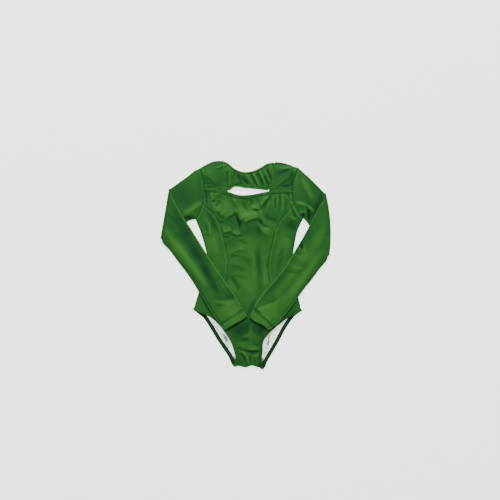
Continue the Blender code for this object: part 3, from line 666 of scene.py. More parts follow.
def armhole_distance(x, y):
    left = x - x_at(bowed(ARMHOLE_LEFT, 41).tolist(), y, -2.0)
    right = x_at(bowed(ARMHOLE_RIGHT, 41).tolist(), y, 2.0) - x
    return np.maximum(0, np.minimum(left, right))


def front_form(x, y):
    """Height of the underside of the front cloth, with every crease."""
    inside = np.maximum(0, seam_distance(x, y))
    roll = 1 - np.exp(-((inside / EDGE_ROLL) ** 2))
    hole = armhole_distance(x, y)
    body = np.minimum(inside, hole)
    shape = CROWN * (1 - np.exp(-((body / 30) ** 2)))
    folds = creases(x, y, YOKE_CREASES + CHEST_CREASES + CROTCH_CREASES)
    for points, reach, height, pitch, seed in PUCKERS:
        line = part_of(spline(points), 0, 1, 40)
        far, _, along, _ = nearest(x, y, line)
        folds += RELIEF * height * wave_noise(along / pitch, seed) * np.exp(-((far / reach) ** 2))
    folds += 1.5 * soft_noise(x, y, 62.0, 21) + 0.6 * soft_noise(x, y, 31.0, 23)
    folds += 0.18 * soft_noise(x, y, 12.0, 29)
    shape = shape + folds * (1 - np.exp(-((body / 6) ** 2)))
    for points, puffy in ((PRINCESS_LEFT, 1), (PRINCESS_RIGHT, -1)):
        far, side = nearest(x, y, part_of(spline(points), 0, 1, 60))[:2]
        shape -= np.where(side == -puffy, 0.7, 1.3) * np.exp(-((far / 2.4) ** 2))
        rise = 0.8 * (1 - np.exp(-((body / 14) ** 2)))
        shape += np.where(side == -puffy, rise, 0) * np.exp(-(((far - 4.8) / 3.0) ** 2))
    for points, far_line, depth in EDGE_LINES:
        far = nearest(x, y, part_of(spline(points), 0, 1, 60))[0]
        shape -= depth * np.exp(-(((far - far_line) / 1.7) ** 2))
    far, side = nearest(x, y, part_of(spline(NECK_BACK), 0, 1, 80))[:2]
    shape -= np.where((y > 165) & (side > 0), 1, 0) * 0.6 * smooth(far / 7)
    shape -= 1.5 * np.exp(-((hole / 3.2) ** 2)) * (hole > 0)
    shape += 0.9 * np.exp(-(((hole - 9) / 4.5) ** 2)) * (hole > 0)
    over_band = (BAND_FRONT_LOW - SEAM_LOW) * np.clip((HIP_LIFT - y) / 25, 0, 1)
    seam = SEAM_LOW + over_band
    free = roll * smooth((y + 165) / 40)
    return seam + (FRONT_LOW - seam) * roll + np.maximum(-0.25 - 0.8 * free, shape)


class Heights:
    """A height worked out once on a fine raster and read back anywhere between its points."""

    def __init__(self, form, step=1.25, low=(-215.0, -372.0), high=(228.0, 372.0)):
        self.low, self.step = low, step
        xs, ys = np.arange(low[0], high[0], step), np.arange(low[1], high[1], step)
        x, y = np.meshgrid(xs, ys, indexing="ij")
        self.z = form(x, y)

    def __call__(self, x, y):
        i = np.clip((x - self.low[0]) / self.step, 0, self.z.shape[0] - 1.001)
        j = np.clip((y - self.low[1]) / self.step, 0, self.z.shape[1] - 1.001)
        a, b = i.astype(int), j.astype(int)
        u, v = i - a, j - b
        z = self.z
        low = z[a, b] * (1 - u) + z[a + 1, b] * u
        high = z[a, b + 1] * (1 - u) + z[a + 1, b + 1] * u
        return low * (1 - v) + high * v


def blurred(z, passes, reach):
    """The raster smoothed by running means, as cloth bridges what it lies on."""
    for _ in range(passes):
        for axis in (0, 1):
            before, after = [np.take(z, [0], axis)] * reach, [np.take(z, [-1], axis)] * reach
            wide = np.concatenate(before + [z] + after, axis)
            total = np.cumsum(np.concatenate([np.zeros_like(np.take(wide, [0], axis)), wide], axis), axis)
            size = 2 * reach + 1
            first = np.take(total, range(size, total.shape[axis]), axis)
            z = (first - np.take(total, range(0, total.shape[axis] - size), axis)) / size
    return z


# Painted shade in creases: the cloth's colour is darkened in hollows and lightened on ridges by this
def crease_shading(z, reach, depth):
    """How far a height grid stands over its smoothed self, from -1 in a hollow to 1 on a ridge."""
    near, wide = blurred(z, 2, reach), blurred(z, 2, 4 * reach)
    return np.clip(0.75 * (z - near) / depth + 0.45 * (z - wide) / (2 * depth), -1, 1)


def new_object(name, points, faces, finish, nodes=(), tint=None):
    points = np.asarray(points) * MM
    tri = np.array([(f[0], f[1], f[2]) for f in faces])
    a, b, c = points[tri[:, 0]], points[tri[:, 1]], points[tri[:, 2]]
    quad = np.array([f[-1] for f in faces])
    d = points[quad]
    signed = np.einsum("ij,ij->i", a, np.cross(b, c)).sum() + np.einsum("ij,ij->i", a, np.cross(c, d)).sum()
    if signed < 0:
        faces = [f[::-1] for f in faces]
    mesh = bpy.data.meshes.new(name)
    mesh.from_pydata(points.tolist(), [], faces)
    mesh.validate()
    # The fold attribute carries the painted shade and painted light that the material's ramp turns into colour
    fold = mesh.attributes.new("fold", "FLOAT", "POINT")
    fold.data.foreach_set("value", np.zeros(len(points)) if tint is None else np.asarray(tint, float).ravel())
    mesh.materials.append(finish)
    mesh.shade_smooth()
    mesh.set_sharp_from_angle(angle=math.radians(55))
    made = bpy.data.objects.new(name, mesh)
    bpy.context.scene.collection.objects.link(made)
    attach(made, "root")
    if nodes:
        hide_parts(*nodes)
    return made


def wall_faces(rows, columns):
    count = rows * columns
    index = np.arange(count).reshape(rows, columns)
    a, b, c, d = index[:-1, :-1], index[:-1, 1:], index[1:, 1:], index[1:, :-1]
    top = np.stack([a, b, c, d], -1).reshape(-1, 4) + count
    low = np.stack([c, b, a, d], -1).reshape(-1, 4)
    rim = [*index[0], *index[1:, -1], *index[-1, -2::-1], *index[-2:0:-1, 0]]
    edge = [(p, q, q + count, p + count) for p, q in zip(rim, rim[1:] + rim[:1])]
    return [tuple(map(int, f)) for f in [*top, *low, *edge]]


def add_wall(name, plan, low, high, finish, nodes=(), tint=None):
    """A closed wall over a grid, with the heights of its underside and top."""
    points = np.vstack([
        np.concatenate([plan, low[..., None]], -1).reshape(-1, 3),
        np.concatenate([plan, high[..., None]], -1).reshape(-1, 3),
    ])
    tints = None if tint is None else np.concatenate([tint.ravel(), tint.ravel()])
    return new_object(name, points, wall_faces(*plan.shape[:2]), finish, nodes, tints)


def loop_faces(count, around, closed):
    """Faces of a run of rings, joined end to end if closed and capped if not."""
    faces = []
    for i in range(count if closed else count - 1):
        n = (i + 1) % count
        for j in range(around):
            k = (j + 1) % around
            faces.append((i * around + j, i * around + k, n * around + k, n * around + j))
    if not closed:
        for i, turn in ((0, 1), (count - 1, -1)):
            ring = [i * around + j for j in range(around)]
            faces += [(ring[0], ring[j], ring[j + 1])[::turn] for j in range(1, around - 1)]
    return faces


def section(count=18):
    """Round the soft section of a flat band: share across, share of its height."""
    a = np.linspace(0, 2 * math.pi, count, endpoint=False) + 0.1
    u = 0.5 + 0.5 * np.sign(np.cos(a)) * np.abs(np.cos(a)) ** 0.42
    w = 0.5 + 0.5 * np.sign(np.sin(a)) * np.abs(np.sin(a)) ** 0.62
    return u, w


def band_run(edge, inner, low, upside_down, seed, pitch, height):
    """Rings of a band along its edge. Its top wavers a little where the elastic pulls."""
    u, w = section()
    rings = edge[:, None] * (1 - u)[None, :, None] + inner[:, None] * u[None, :, None]
    base = low(rings[..., 0], rings[..., 1])
    share = (1 - w if upside_down else w)[None, :]
    length = np.concatenate([[0], np.cumsum(np.linalg.norm(np.diff(edge, axis=0), axis=1))])[:, None]
    waver = height * wave_noise(length / pitch + 40, seed) * share
    groove = 0.3 * np.exp(-(((u - 0.78) / 0.09) ** 2))[None, :] * share
    return np.concatenate([rings, (base + BAND_WALL * share + waver - groove)[..., None]], -1)


def band_turn(first, last, outward, steps):
    """Rings that carry a band round a fold, from its lower run to its upper one."""
    w = section()[1]
    z_low, z_high = first[:, 2].mean(), last[:, 2].mean()
    reach = (z_high - z_low) / 2 + BAND_WALL * (0.5 - w)
    made = []
    for k in range(1, steps):
        angle = math.pi * k / steps
        ring = first * (1 - k / steps) + last * k / steps
        ring[:, 2] = (z_low + z_high) / 2 - reach * math.cos(angle)
        ring[:, :2] += np.outer(reach * math.sin(angle), outward)
        made.append(ring)
    return made


def over_back(x, y):
    """Underside of a wrapped band's front run: on the front cloth, and never into the band's back run."""
    return np.maximum(FRONT(x, y), BAND_FRONT_LOW)


def wrapped_band(name, back_edge, front_edge, width, side, count, ends, finish, seed, tones):
    """A band along the back, round both folds and back along the front. tones are the painted shade or
    light of its back run and of its front run.
    """
    back, back_inner, front, front_inner = band_lines(back_edge, front_edge, width, side, count)[:4]
    lower = band_run(back, back_inner, lambda x, y: np.zeros(x.shape), False, seed, 6.0, 0.0)
    high = band_run(front[::-1], front_inner[::-1], over_back, True, seed, 6.0, 0.3)
    far_turn = band_turn(lower[-1], high[0], ends[0], 9)
    near_turn = band_turn(lower[0], high[-1], ends[1], 9)[::-1]
    rings = np.array([*lower, *far_turn, *high, *near_turn])
    faces = loop_faces(len(rings), rings.shape[1], True)
    painted_tone = np.array([tones[0]] * len(lower) + [tones[1]] * (len(rings) - len(lower)), float)
    return new_object(
        name, rings.reshape(-1, 3), faces, finish, [name.replace("cloth_", "")],
        np.repeat(painted_tone, rings.shape[1]),
    )


def chest_band_edges(count):
    top = part_of(spline(CHEST_LINE), 0, 1, count)
    bottom = top - np.array((0, CHEST_BAND))
    for line in (top, bottom):
        line[0] = armhole(ARMHOLE_LEFT, line[0, 1], line[0, 1], 1)[0] + (SEAM, 0)
        line[-1] = armhole(ARMHOLE_RIGHT, line[-1, 1], line[-1, 1], 1)[0] - (SEAM, 0)
    return top, bottom


def yoke_grid():
    """Plan of the yoke, from the cut-out and the chest line up to the neck and shoulders."""
    columns_side, columns_neck, rows = 48, 150, 70
    neck = band_lines(NECK_BACK, NECK_FRONT, NECK_BAND, -1, columns_neck)[5]
    top = np.vstack([
        part_of(spline(SHOULDER_LEFT), 1, 0.05, columns_side),
        neck,
        part_of(spline(SHOULDER_RIGHT), 0.05, 1, columns_side),
    ])
    arch = beside(part_of(spline(CUTOUT_TOP), 0, 1, columns_neck), CUTOUT_BAND + SEAM)
    line = spline(CHEST_LINE)
    bottom = np.vstack([
        part_of(line, 0, 0.265, columns_side) + (0, SEAM),
        arch,
        part_of(line, 0.745, 1, columns_side) + (0, SEAM),
    ])
    left = armhole(ARMHOLE_LEFT, bottom[0, 1], top[0, 1], rows) + (SEAM, 0)
    right = armhole(ARMHOLE_RIGHT, bottom[-1, 1], top[-1, 1], rows) - (SEAM, 0)
    bottom[0], top[0], bottom[-1], top[-1] = left[0], left[-1], right[0], right[-1]
    return coons(left, right, bottom, top)


def front_grids():
    """Plans of the front's middle and side panels, which meet at the princess seams."""
    _, chest = chest_band_edges(149)
    half_seam = np.array((SEAM / 2, 0))
    edges = []
    for princess, back, leg, hole, side, corner in (
        (PRINCESS_LEFT, LEG_BACK_LEFT, LEG_FRONT_LEFT, ARMHOLE_LEFT, 1, chest[0]),
        (PRINCESS_RIGHT, LEG_BACK_RIGHT, LEG_FRONT_RIGHT, ARMHOLE_RIGHT, -1, chest[-1]),
    ):
        band = band_lines(back, leg, LEG_BAND, side, 105)[5]
        meet = int(np.argmin(abs(band[:, 0] - princess[-1][0])))
        start = armhole(hole, princess[0][1], princess[0][1], 1)[0] + 3 * side * half_seam
        seam_line = part_of(spline([tuple(start), *princess[1:-1], tuple(band[meet])]), 1, 0, 170)
        top = armhole(hole, seam_line[-1, 1], corner[1] - SEAM, 16)
        inner = np.vstack([
            band[:meet:-1] + side * half_seam,
            seam_line + side * half_seam,
            top[1:] + 2 * side * half_seam,
        ])
        edges.append((inner, band[: meet + 1], seam_line - side * half_seam))
    (left, hip_left, seam_left), (right, hip_right, seam_right) = edges
    rows = max(len(left), len(right))
    left, right = (
        line if len(line) == rows else part_of(spline(line, 2), 0, 1, rows) for line in (left, right)
    )
    u = np.linspace(0, 1, 118)
    across = left[0, 0] * (1 - u) + right[0, 0] * u
    bottom = np.stack([across, y_at(part_of(spline(CROTCH_FOLD), 0, 1, 41).tolist(), across)], axis=1)
    top = spline(chest - np.array((0, SEAM)), 2)(u)
    bottom[0], bottom[-1], top[0], top[-1] = left[0], right[0], left[-1], right[-1]
    grids = {"front_center": coons(left, right, bottom, top)}
    for name, points, hip, inner, hole, side in (
        ("front_side_left", SIDE_LEFT, hip_left, seam_left, ARMHOLE_LEFT, 1),
        ("front_side_right", SIDE_RIGHT, hip_right, seam_right, ARMHOLE_RIGHT, -1),
    ):
        outer = part_of(spline(points), 0.95, 0, len(inner))
        outer[0] = hip[0]
        top = armhole(hole, hole[3], inner[-1, 1], len(hip)) + 2 * side * half_seam
        bottom = hip.copy()
        bottom[-1], top[0], top[-1] = inner[0], outer[-1], inner[-1]
        grid = coons(outer, inner, bottom, top)
        grids[name] = grid if side > 0 else grid[:, ::-1]
    return grids


def back_half(neck, leg, side_line, hole, shoulder, sign):
    """Half of the back in level rows, from leg, side, armhole and shoulder in to the middle and the scoop."""
    outer = np.vstack([
        leg[1:][::-1],
        part_of(spline(side_line), 0.94, 0.004, 60),
        armhole(hole, hole[3] + 1.5, hole[1] - 1, 44) + (sign * SEAM, 0),
        part_of(spline(shoulder), 1, 0, 24),
    ])
    outer[:, 1] = np.maximum.accumulate(outer[:, 1])
    low = outer[0, 1]
    y = np.concatenate([np.linspace(low, neck[0, 1], 170)[:-1], np.maximum.accumulate(neck[:, 1])])
    inner = np.concatenate([np.full(169, neck[0, 0]), neck[:, 0]])
    edge = sign * np.minimum(sign * np.interp(y, outer[:, 1], outer[:, 0]), sign * inner - 0.6)
    u = np.linspace(0, 1, 56)[None, :]
    x = edge[:, None] * (1 - u) + inner[:, None] * u
    y = np.repeat(y[:, None], 56, axis=1)
    fold = part_of(spline(CROTCH_FOLD), 0, 1, 41).tolist()
    y += (y_at(fold, x) - low) * np.exp(-(y - low) / 12)
    grid = np.stack([x, y], axis=-1)
    return grid if sign > 0 else grid[:, ::-1]


def back_grids():
    neck = band_lines(NECK_BACK, NECK_FRONT, NECK_BAND, -1, 181)[4]
    bottom = int(np.argmin(neck[:, 1]))
    legs = [
        band_lines(back, front, LEG_BAND, side, 61)[4]
        for back, front, side in ((LEG_BACK_LEFT, LEG_FRONT_LEFT, 1), (LEG_BACK_RIGHT, LEG_FRONT_RIGHT, -1))
    ]
    return (
        back_half(neck[: bottom + 1][::-1], legs[0], SIDE_LEFT, ARMHOLE_LEFT, SHOULDER_LEFT, 1),
        back_half(neck[bottom:], legs[1], SIDE_RIGHT, ARMHOLE_RIGHT, SHOULDER_RIGHT, -1),
    )


def section_shares(width, count):
    """Shares across a flattened sleeve, close together in its rolled edges."""
    roll = SLEEVE_HALF / width
    edge = roll * np.array([0, 0.08, 0.25, 0.55, 1.0])
    return np.array([*edge, *np.linspace(0, 1, count)[1:-1], *(1 - edge[::-1])])


def rest_heights(armpit, elbow):
    """What a folded-over sleeve lies on: the front, its own upper half, or down to the surface."""
    run = np.array(elbow, float) - armpit

    def form(x, y):
        inside = seam_distance(x, y)
        on_body = (FRONT(x, y) + WALL + SLEEVE_CLEAR) * np.exp(-((np.minimum(0, inside) / DRAPE) ** 2))
        above = (run[0] * (y - armpit[1]) - run[1] * (x - armpit[0])) / np.hypot(*run) * np.sign(run[0])
        on_arm = 2 * FOLD_RADIUS * np.exp(-((np.minimum(0, above) / DRAPE) ** 2))
        return (np.maximum(0.3, on_body) ** 8 + on_arm**8) ** 0.125

    made = Heights(form, 2.5, (-305.0, -240.0), (305.0, 345.0))
    made.z = np.maximum(made.z, blurred(made.z, 2, 3))
    return made


def sleeve_surface(rows, turns, ends, inset, upper_creases, lower_creases, hem):
    """Both faces of a sleeve as grids of points: the face that ends on top after the fold, and the other."""
    rest = RESTS[ends]
    first, second = [], []
    plans, shares_of, rounds = [], [], []
    for row, turn in zip(rows, turns):
        width = math.hypot(row[2] - row[0], row[3] - row[1])
        shares = section_shares(width, 52)
        across = (inset + shares * (width - 2 * inset)) / width
        plans.append(bowed(row[:5], across * row[6]))
        shares_of.append(across)
        half = SLEEVE_HALF - inset
        from_edge = np.minimum(shares, 1 - shares) * (width - 2 * inset)
        rounds.append(half * np.sqrt(1 - np.maximum(0, 1 - from_edge / half) ** 2))
    plan, across, rounded = np.array(plans), np.array(shares_of), np.array(rounds)
    x, y = plan[..., 0], plan[..., 1]
    middle = np.sin(math.pi * across)
    puff = middle**2 * rows[:, 5][:, None]
    up_shape = creases(x, y, upper_creases) + 0.12 * soft_noise(x, y, 30.0, 31)
    low_shape = creases(x, y, lower_creases) + 0.35 * soft_noise(x, y, 38.0, 37)
    low_shape += 0.12 * soft_noise(x, y, 13.0, 41)
    widths = np.hypot(rows[:, 2] - rows[:, 0], rows[:, 3] - rows[:, 1])[:, None]
    bead = 1.1 * np.exp(-(((across * widths - 4.2) / 2.6) ** 2))
    seamed = 1.1 * np.exp(-(((1 - across) * widths - 8.5) / 1.8) ** 2)
    height = rest(x, y)
    lower = LOWER_LEFT if ends == "left" else LOWER_RIGHT
    far, side = nearest(x, y, part_of(spline([row[:2] for row in lower]), 0, 1, 60))[:2]
    bare = smooth((far - 4) / 14) * (side == (1 if ends == "left" else -1))
    for k, turn in enumerate(turns):
        if turn == 0:
            shape = puff[k] + middle[k] ** 0.6 * up_shape[k] - 0.8 * hem[k]
            shape = np.clip(shape, -1.2, 1.1 + 2.6 * bare[k])
            a, b = SLEEVE_HALF - rounded[k], SLEEVE_HALF + rounded[k] + shape
            first.append(np.column_stack([plan[k], a]))
            second.append(np.column_stack([plan[k], b]))
        elif turn < math.pi:
            reach = FOLD_RADIUS + SLEEVE_HALF
            for face, depth in ((first, SLEEVE_HALF - rounded[k]), (second, SLEEVE_HALF + rounded[k])):
                swing = reach - depth
                where = plan[k] + np.outer(swing * math.sin(turn), OUT[ends])
                face.append(np.column_stack([where, reach - swing * math.cos(turn)]))
        else:
            shape = 2.2 * puff[k] + middle[k] ** 0.5 * low_shape[k] - seamed[k] + bead[k] + hem[k]
            shape = np.maximum(shape, -1.0 * (rounded[k] > 0))
            base = height[k] + SLEEVE_HALF
            first.append(np.column_stack([plan[k], base + rounded[k] + shape]))
            second.append(np.column_stack([plan[k], base - rounded[k]]))
    return np.array(first), np.array(second)


def add_sleeve(name, upper, lower, key, creases_up, creases_low, tables, rim, outer_reach, cuff_wave, finish):
    """A sleeve as an open tube with a hem, and the lines of its hem stitches.

    tables hold the painted light and shade of the upper and lower half. rim is the height in y where the lit
    inner edge starts and ends, outer_reach the depth of the painted shade along the outer edge, and cuff_wave
    the size, waves, phase and lift of the cuff's waver.
    """
    share_low = np.concatenate([np.linspace(0, 0.9, 112), np.linspace(0.9, 1, 46)[1:]])
    rows_up = spline(upper)(np.concatenate([np.linspace(0, 0.08, 12), np.linspace(0.08, 1, 38)[1:]]))
    rows_low = spline([upper[-1]] + lower)(share_low)
    steps_low = np.linalg.norm(np.diff((rows_low[:, :2] + rows_low[:, 2:4]) / 2, axis=0), axis=1)
    from_cuff = np.concatenate([np.cumsum(steps_low[::-1])[::-1], [0.0]])
    rows = np.vstack([rows_up, np.repeat([rows_up[-1]], FOLD_STEPS - 1, axis=0), rows_low])
    folding = [math.pi * k / FOLD_STEPS for k in range(1, FOLD_STEPS)]
    turns = [0.0] * len(rows_up) + folding + [math.pi] * len(rows_low)
    folded_over = (np.array(turns) == math.pi)[:, None]
    on_low = slice(len(rows) - len(rows_low), None)
    hem = np.zeros(len(rows))
    hem[on_low] = 0.5 * smooth((HEM + 1.5 - from_cuff) / 3)
    for at in HEM_LINES:
        hem[on_low] -= 0.9 * np.exp(-(((from_cuff - at) / 1.5) ** 2))
    start = np.concatenate([[0], np.cumsum(np.linalg.norm(np.diff(rows_up[:, :2], axis=0), axis=1))])
    hem[: len(rows_up)] = np.exp(-((start / 2.6) ** 2))
    grids = []
    for inset in (0.0, WALL):
        first, second = sleeve_surface(rows, turns, key, inset, creases_up, creases_low, hem)
        pull = np.zeros(len(rows))
        pull[on_low] = np.exp(-((from_cuff / 30) ** 2))
        along = rows[-1, :2] + rows[-1, 2:4] - rows[-4, :2] - rows[-4, 2:4]
        along = along / np.linalg.norm(along)
        s = np.linspace(0, 1, first.shape[1])
        sway = cuff_wave[0] * np.sin(2 * math.pi * s * cuff_wave[1] + cuff_wave[2]) * np.sin(math.pi * s)
        for face in (first, second):
            face[..., :2] += pull[:, None, None] * sway[None, :, None] * along
        first[..., 2] += pull[:, None] * cuff_wave[3] * np.abs(sway[None, :]) * 0.5
        grids.append((first, second))
    around = 2 * first.shape[1] - 2
    loops = [np.concatenate([a, b[:, -2:0:-1]], axis=1) for a, b in grids]
    count = len(rows) * around
    index = np.arange(count).reshape(len(rows), around)
    nxt = np.roll(index, -1, axis=1)
    outer = np.stack([index[:-1], nxt[:-1], nxt[1:], index[1:]], -1).reshape(-1, 4)
    inner = np.stack([nxt[1:], nxt[:-1], index[:-1], index[1:]], -1).reshape(-1, 4) + count
    faces = [tuple(map(int, f)) for f in [*outer, *inner]]
    for j in range(around):
        a, b = int(index[0, j]), int(nxt[0, j])
        faces.append((b, a, a + count, b + count))
        a, b = int(index[-1, j]), int(nxt[-1, j])
        faces.append((a, b, b + count, a + count))
    points = np.vstack([loops[0].reshape(-1, 3), loops[1].reshape(-1, 3)])
    tints = []
    # Painted shade in the sleeve's hollows and painted highlight on its ridges
    for rise in (grids[0][0][..., 2], grids[0][1][..., 2]):
        level = rise - RESTS[key](grids[0][0][..., 0], grids[0][0][..., 1]) * folded_over
        tints.append(crease_shading(level, 3, 0.9))
    where = grids[0][0][..., 0], grids[0][0][..., 1]
    lower_half = smooth((np.array(turns) - 1.2) / 0.8)[:, None]
    width = np.hypot(rows[:, 2] - rows[:, 0], rows[:, 3] - rows[:, 1])[:, None]
    from_inner = np.sqrt((where[0] - rows[:, :1]) ** 2 + (where[1] - rows[:, 1:2]) ** 2)
    # Painted highlight along the inner edge where it is lit and painted shade along it elsewhere, over the
    # lower half's painted light and shade
    lit = smooth((rim[0] - rows[:, 1:2]) / 25)
    lit *= smooth((rows[:, 1:2] - rim[1]) / 60)
    sleeve_shading = shades(*where, tables[1]) + (1.2 * lit - 0.5) * np.exp(-((from_inner / 4.8) ** 2))
    # Painted shade in the two hem grooves, deeper towards the inner edge
    for at in HEM_LINES:
        line = np.exp(-(((from_cuff - at) / 1.5) ** 2))[:, None]
        sleeve_shading[on_low] -= (0.6 + 0.9 * np.exp(-((from_inner[on_low] / 24) ** 2))) * line
    # Painted light on the cuff below the hem
    sleeve_shading[on_low] += 0.7 * smooth((HEM - from_cuff) / 5)[:, None]
    # Painted shade along the outer edge
    outer_shade = 0.9 if key == "left" else 0.5
    sleeve_shading = (sleeve_shading - outer_shade * np.exp(-(((width - from_inner) / outer_reach) ** 2))) * lower_half
    # Painted light and shade of the upper half
    sleeve_shading_up = shades(*where, tables[0]) * (1 - lower_half)
    tint = np.concatenate([tints[0] + sleeve_shading, (tints[1] + sleeve_shading_up)[:, -2:0:-1]], 1).ravel()
    made = new_object(
        name, points, faces, finish, [name.replace("cloth_", "")], np.concatenate([tint, tint])
    )
    lines = []
    for at in HEM_LINES:
        k = int(np.argmin(abs(from_cuff - at)))
        lines += [face[on_low][k][3:-3] for face in grids[0]]
    return made, lines


def stitches(name, lines, pitch, size, finish):
    """Raised thread along lines of points, a small bead for each stitch."""
    points, faces = [], []
    sides = 6
    for line in lines:
        line = np.asarray(line, float)
        far = np.concatenate([[0], np.cumsum(np.linalg.norm(np.diff(line, axis=0), axis=1))])
        spots = np.arange(pitch / 2, far[-1] - pitch / 2, pitch)
        middle = np.stack([np.interp(spots, far, c) for c in line.T], 1)
        ahead = np.stack([np.interp(spots + 0.6, far, c) for c in line.T], 1) - middle
        for p, d in zip(middle, ahead):
            d = d / max(1e-9, np.linalg.norm(d))
            up = np.array((0, 0, 1.0)) - d * d[2]
            up /= np.linalg.norm(up)
            across = np.cross(up, d)
            base = len(points)
            length, radius = size
            points.append(p - d * length / 2)
            for off, r in ((-0.28, 0.8), (0.0, 1.0), (0.28, 0.8)):
                for k in range(sides):
                    a = 2 * math.pi * k / sides
                    out = math.cos(a) * across + 0.7 * math.sin(a) * up
                    points.append(p + d * length * off + radius * r * out)
            points.append(p + d * length / 2)
            for k in range(sides):
                n = (k + 1) % sides
                faces.append((base, base + 1 + n, base + 1 + k))
                for ring in (0, 1):
                    s = base + 1 + ring * sides
                    faces.append((s + k, s + n, s + sides + n, s + sides + k))
                s = base + 1 + 2 * sides
                faces.append((s + k, s + n, base + 1 + 3 * sides))
    return new_object(name, points, faces, finish)


def node(tree, kind, **values):
    """A new shader node, with properties or inputs set by name."""
    made = tree.nodes.new(kind)
    for key, value in values.items():
        if hasattr(made, key):
            setattr(made, key, value)
        else:
            made.inputs[key.replace("_", " ")].default_value = value
    return made


def cloth_material(name, low, middle, high, roughness, knit, sheen, noise_scale=9.0, glow=0.0):
    """Stretch knit in a dark, a middle and a light colour, led by the fold attribute's painted shade and light
    and a slow drift.
    """
    made = bpy.data.materials.new(name)
    made.use_nodes = True
    tree = made.node_tree
    shader = tree.nodes["Principled BSDF"]
    link = tree.links.new
    where = node(tree, "ShaderNodeTexCoord").outputs["Object"]
    drift = node(tree, "ShaderNodeTexNoise", Scale=noise_scale, Detail=4.0, Roughness=0.55)
    link(where, drift.inputs["Vector"])
    # The fold attribute's painted shade pulls the colour towards the dark colour and its painted light towards
    # the light one; the stop at 0 is deeper painted shade
    ramp = node(tree, "ShaderNodeValToRGB")
    ramp.color_ramp.elements[0].position, ramp.color_ramp.elements[0].color = 0.22, (*low, 1)
    ramp.color_ramp.elements[1].position, ramp.color_ramp.elements[1].color = 0.78, (*high, 1)
    ramp.color_ramp.elements.new(0.5).color = (*middle, 1)
    ramp.color_ramp.elements.new(0.0).color = (*(0.45 * c for c in low), 1)
    fold = node(tree, "ShaderNodeAttribute", attribute_name="fold")
    folded = node(tree, "ShaderNodeMath", operation="MULTIPLY_ADD")
    folded.inputs[1].default_value, folded.inputs[2].default_value = 0.25, 0.35
    link(fold.outputs["Fac"], folded.inputs[0])
    place = node(tree, "ShaderNodeMath", operation="MULTIPLY_ADD")
    place.inputs[1].default_value = 0.3
    link(drift.outputs["Fac"], place.inputs[0])
    link(folded.outputs["Value"], place.inputs[2])
    link(place.outputs["Value"], ramp.inputs["Fac"])
    fine = node(tree, "ShaderNodeTexNoise", Scale=420.0, Detail=3.0, Roughness=0.6)
    link(where, fine.inputs["Vector"])
    speck = node(tree, "ShaderNodeMapRange", To_Min=0.86, To_Max=1.14)
    link(fine.outputs["Fac"], speck.inputs["Value"])
    tint = node(tree, "ShaderNodeMix", data_type="RGBA", blend_type="MULTIPLY")
    tint.inputs["Factor"].default_value = 1.0
    link(ramp.outputs["Color"], tint.inputs["A"])
    link(speck.outputs["Result"], tint.inputs["B"])
    link(tint.outputs["Result"], shader.inputs["Base Color"])
    wales = node(tree, "ShaderNodeTexWave", Scale=knit, Distortion=0.6, Detail=1.0)
    wales.bands_direction = "X"
    courses = node(tree, "ShaderNodeTexWave", Scale=knit * 1.25, Distortion=0.6, Detail=1.0)
    courses.bands_direction = "Y"
    link(where, wales.inputs["Vector"])
    link(where, courses.inputs["Vector"])
    cross = node(tree, "ShaderNodeMath", operation="MULTIPLY")
    link(wales.outputs["Fac"], cross.inputs[0])
    link(courses.outputs["Fac"], cross.inputs[1])
    weave = node(tree, "ShaderNodeBump", Strength=0.25, Distance=0.00025)
    link(cross.outputs["Value"], weave.inputs["Height"])
    crumple = node(tree, "ShaderNodeTexNoise", Scale=55.0, Detail=5.0, Roughness=0.5)
    link(where, crumple.inputs["Vector"])
    soft = node(tree, "ShaderNodeBump", Strength=0.35, Distance=0.0012)
    link(crumple.outputs["Fac"], soft.inputs["Height"])
    link(weave.outputs["Normal"], soft.inputs["Normal"])
    link(soft.outputs["Normal"], shader.inputs["Normal"])
    rough = node(tree, "ShaderNodeMapRange", To_Min=roughness - 0.07, To_Max=roughness + 0.07)
    link(fine.outputs["Fac"], rough.inputs["Value"])
    link(rough.outputs["Result"], shader.inputs["Roughness"])
    shader.inputs["Sheen Weight"].default_value = sheen
    shader.inputs["Sheen Roughness"].default_value = 0.45
    shader.inputs["Specular IOR Level"].default_value = 0.1
    if glow:
        link(tint.outputs["Result"], shader.inputs["Emission Color"])
        shader.inputs["Emission Strength"].default_value = glow
    made.diffuse_color = (*middle, 1)
    return made


def floor_material():
    made = bpy.data.materials.new("floor_paper")
    made.use_nodes = True
    tree = made.node_tree
    shader = tree.nodes["Principled BSDF"]
    grain = node(tree, "ShaderNodeTexNoise", Scale=60.0, Detail=4.0)
    spread = node(tree, "ShaderNodeMapRange", To_Min=0.88, To_Max=0.92)
    tree.links.new(grain.outputs["Fac"], spread.inputs["Value"])
    tree.links.new(spread.outputs["Result"], shader.inputs["Base Color"])
    shader.inputs["Roughness"].default_value = 0.9
    shader.inputs["Emission Color"].default_value = (1, 1, 1, 1)
    shader.inputs["Emission Strength"].default_value = FLOOR_GLOW
    return made


def area_light(name, place, target, size, power):
    data = bpy.data.lights.new(name, "AREA")
    data.shape = "DISK"
    data.size, data.energy = size, power
    made = bpy.data.objects.new(name, data)
    bpy.context.scene.collection.objects.link(made)
    made.location = place
    aim = np.array(target) - place
    made.rotation_euler = (math.acos(-aim[2] / np.linalg.norm(aim)), 0, math.atan2(aim[0], -aim[1]) + math.pi)
    return made


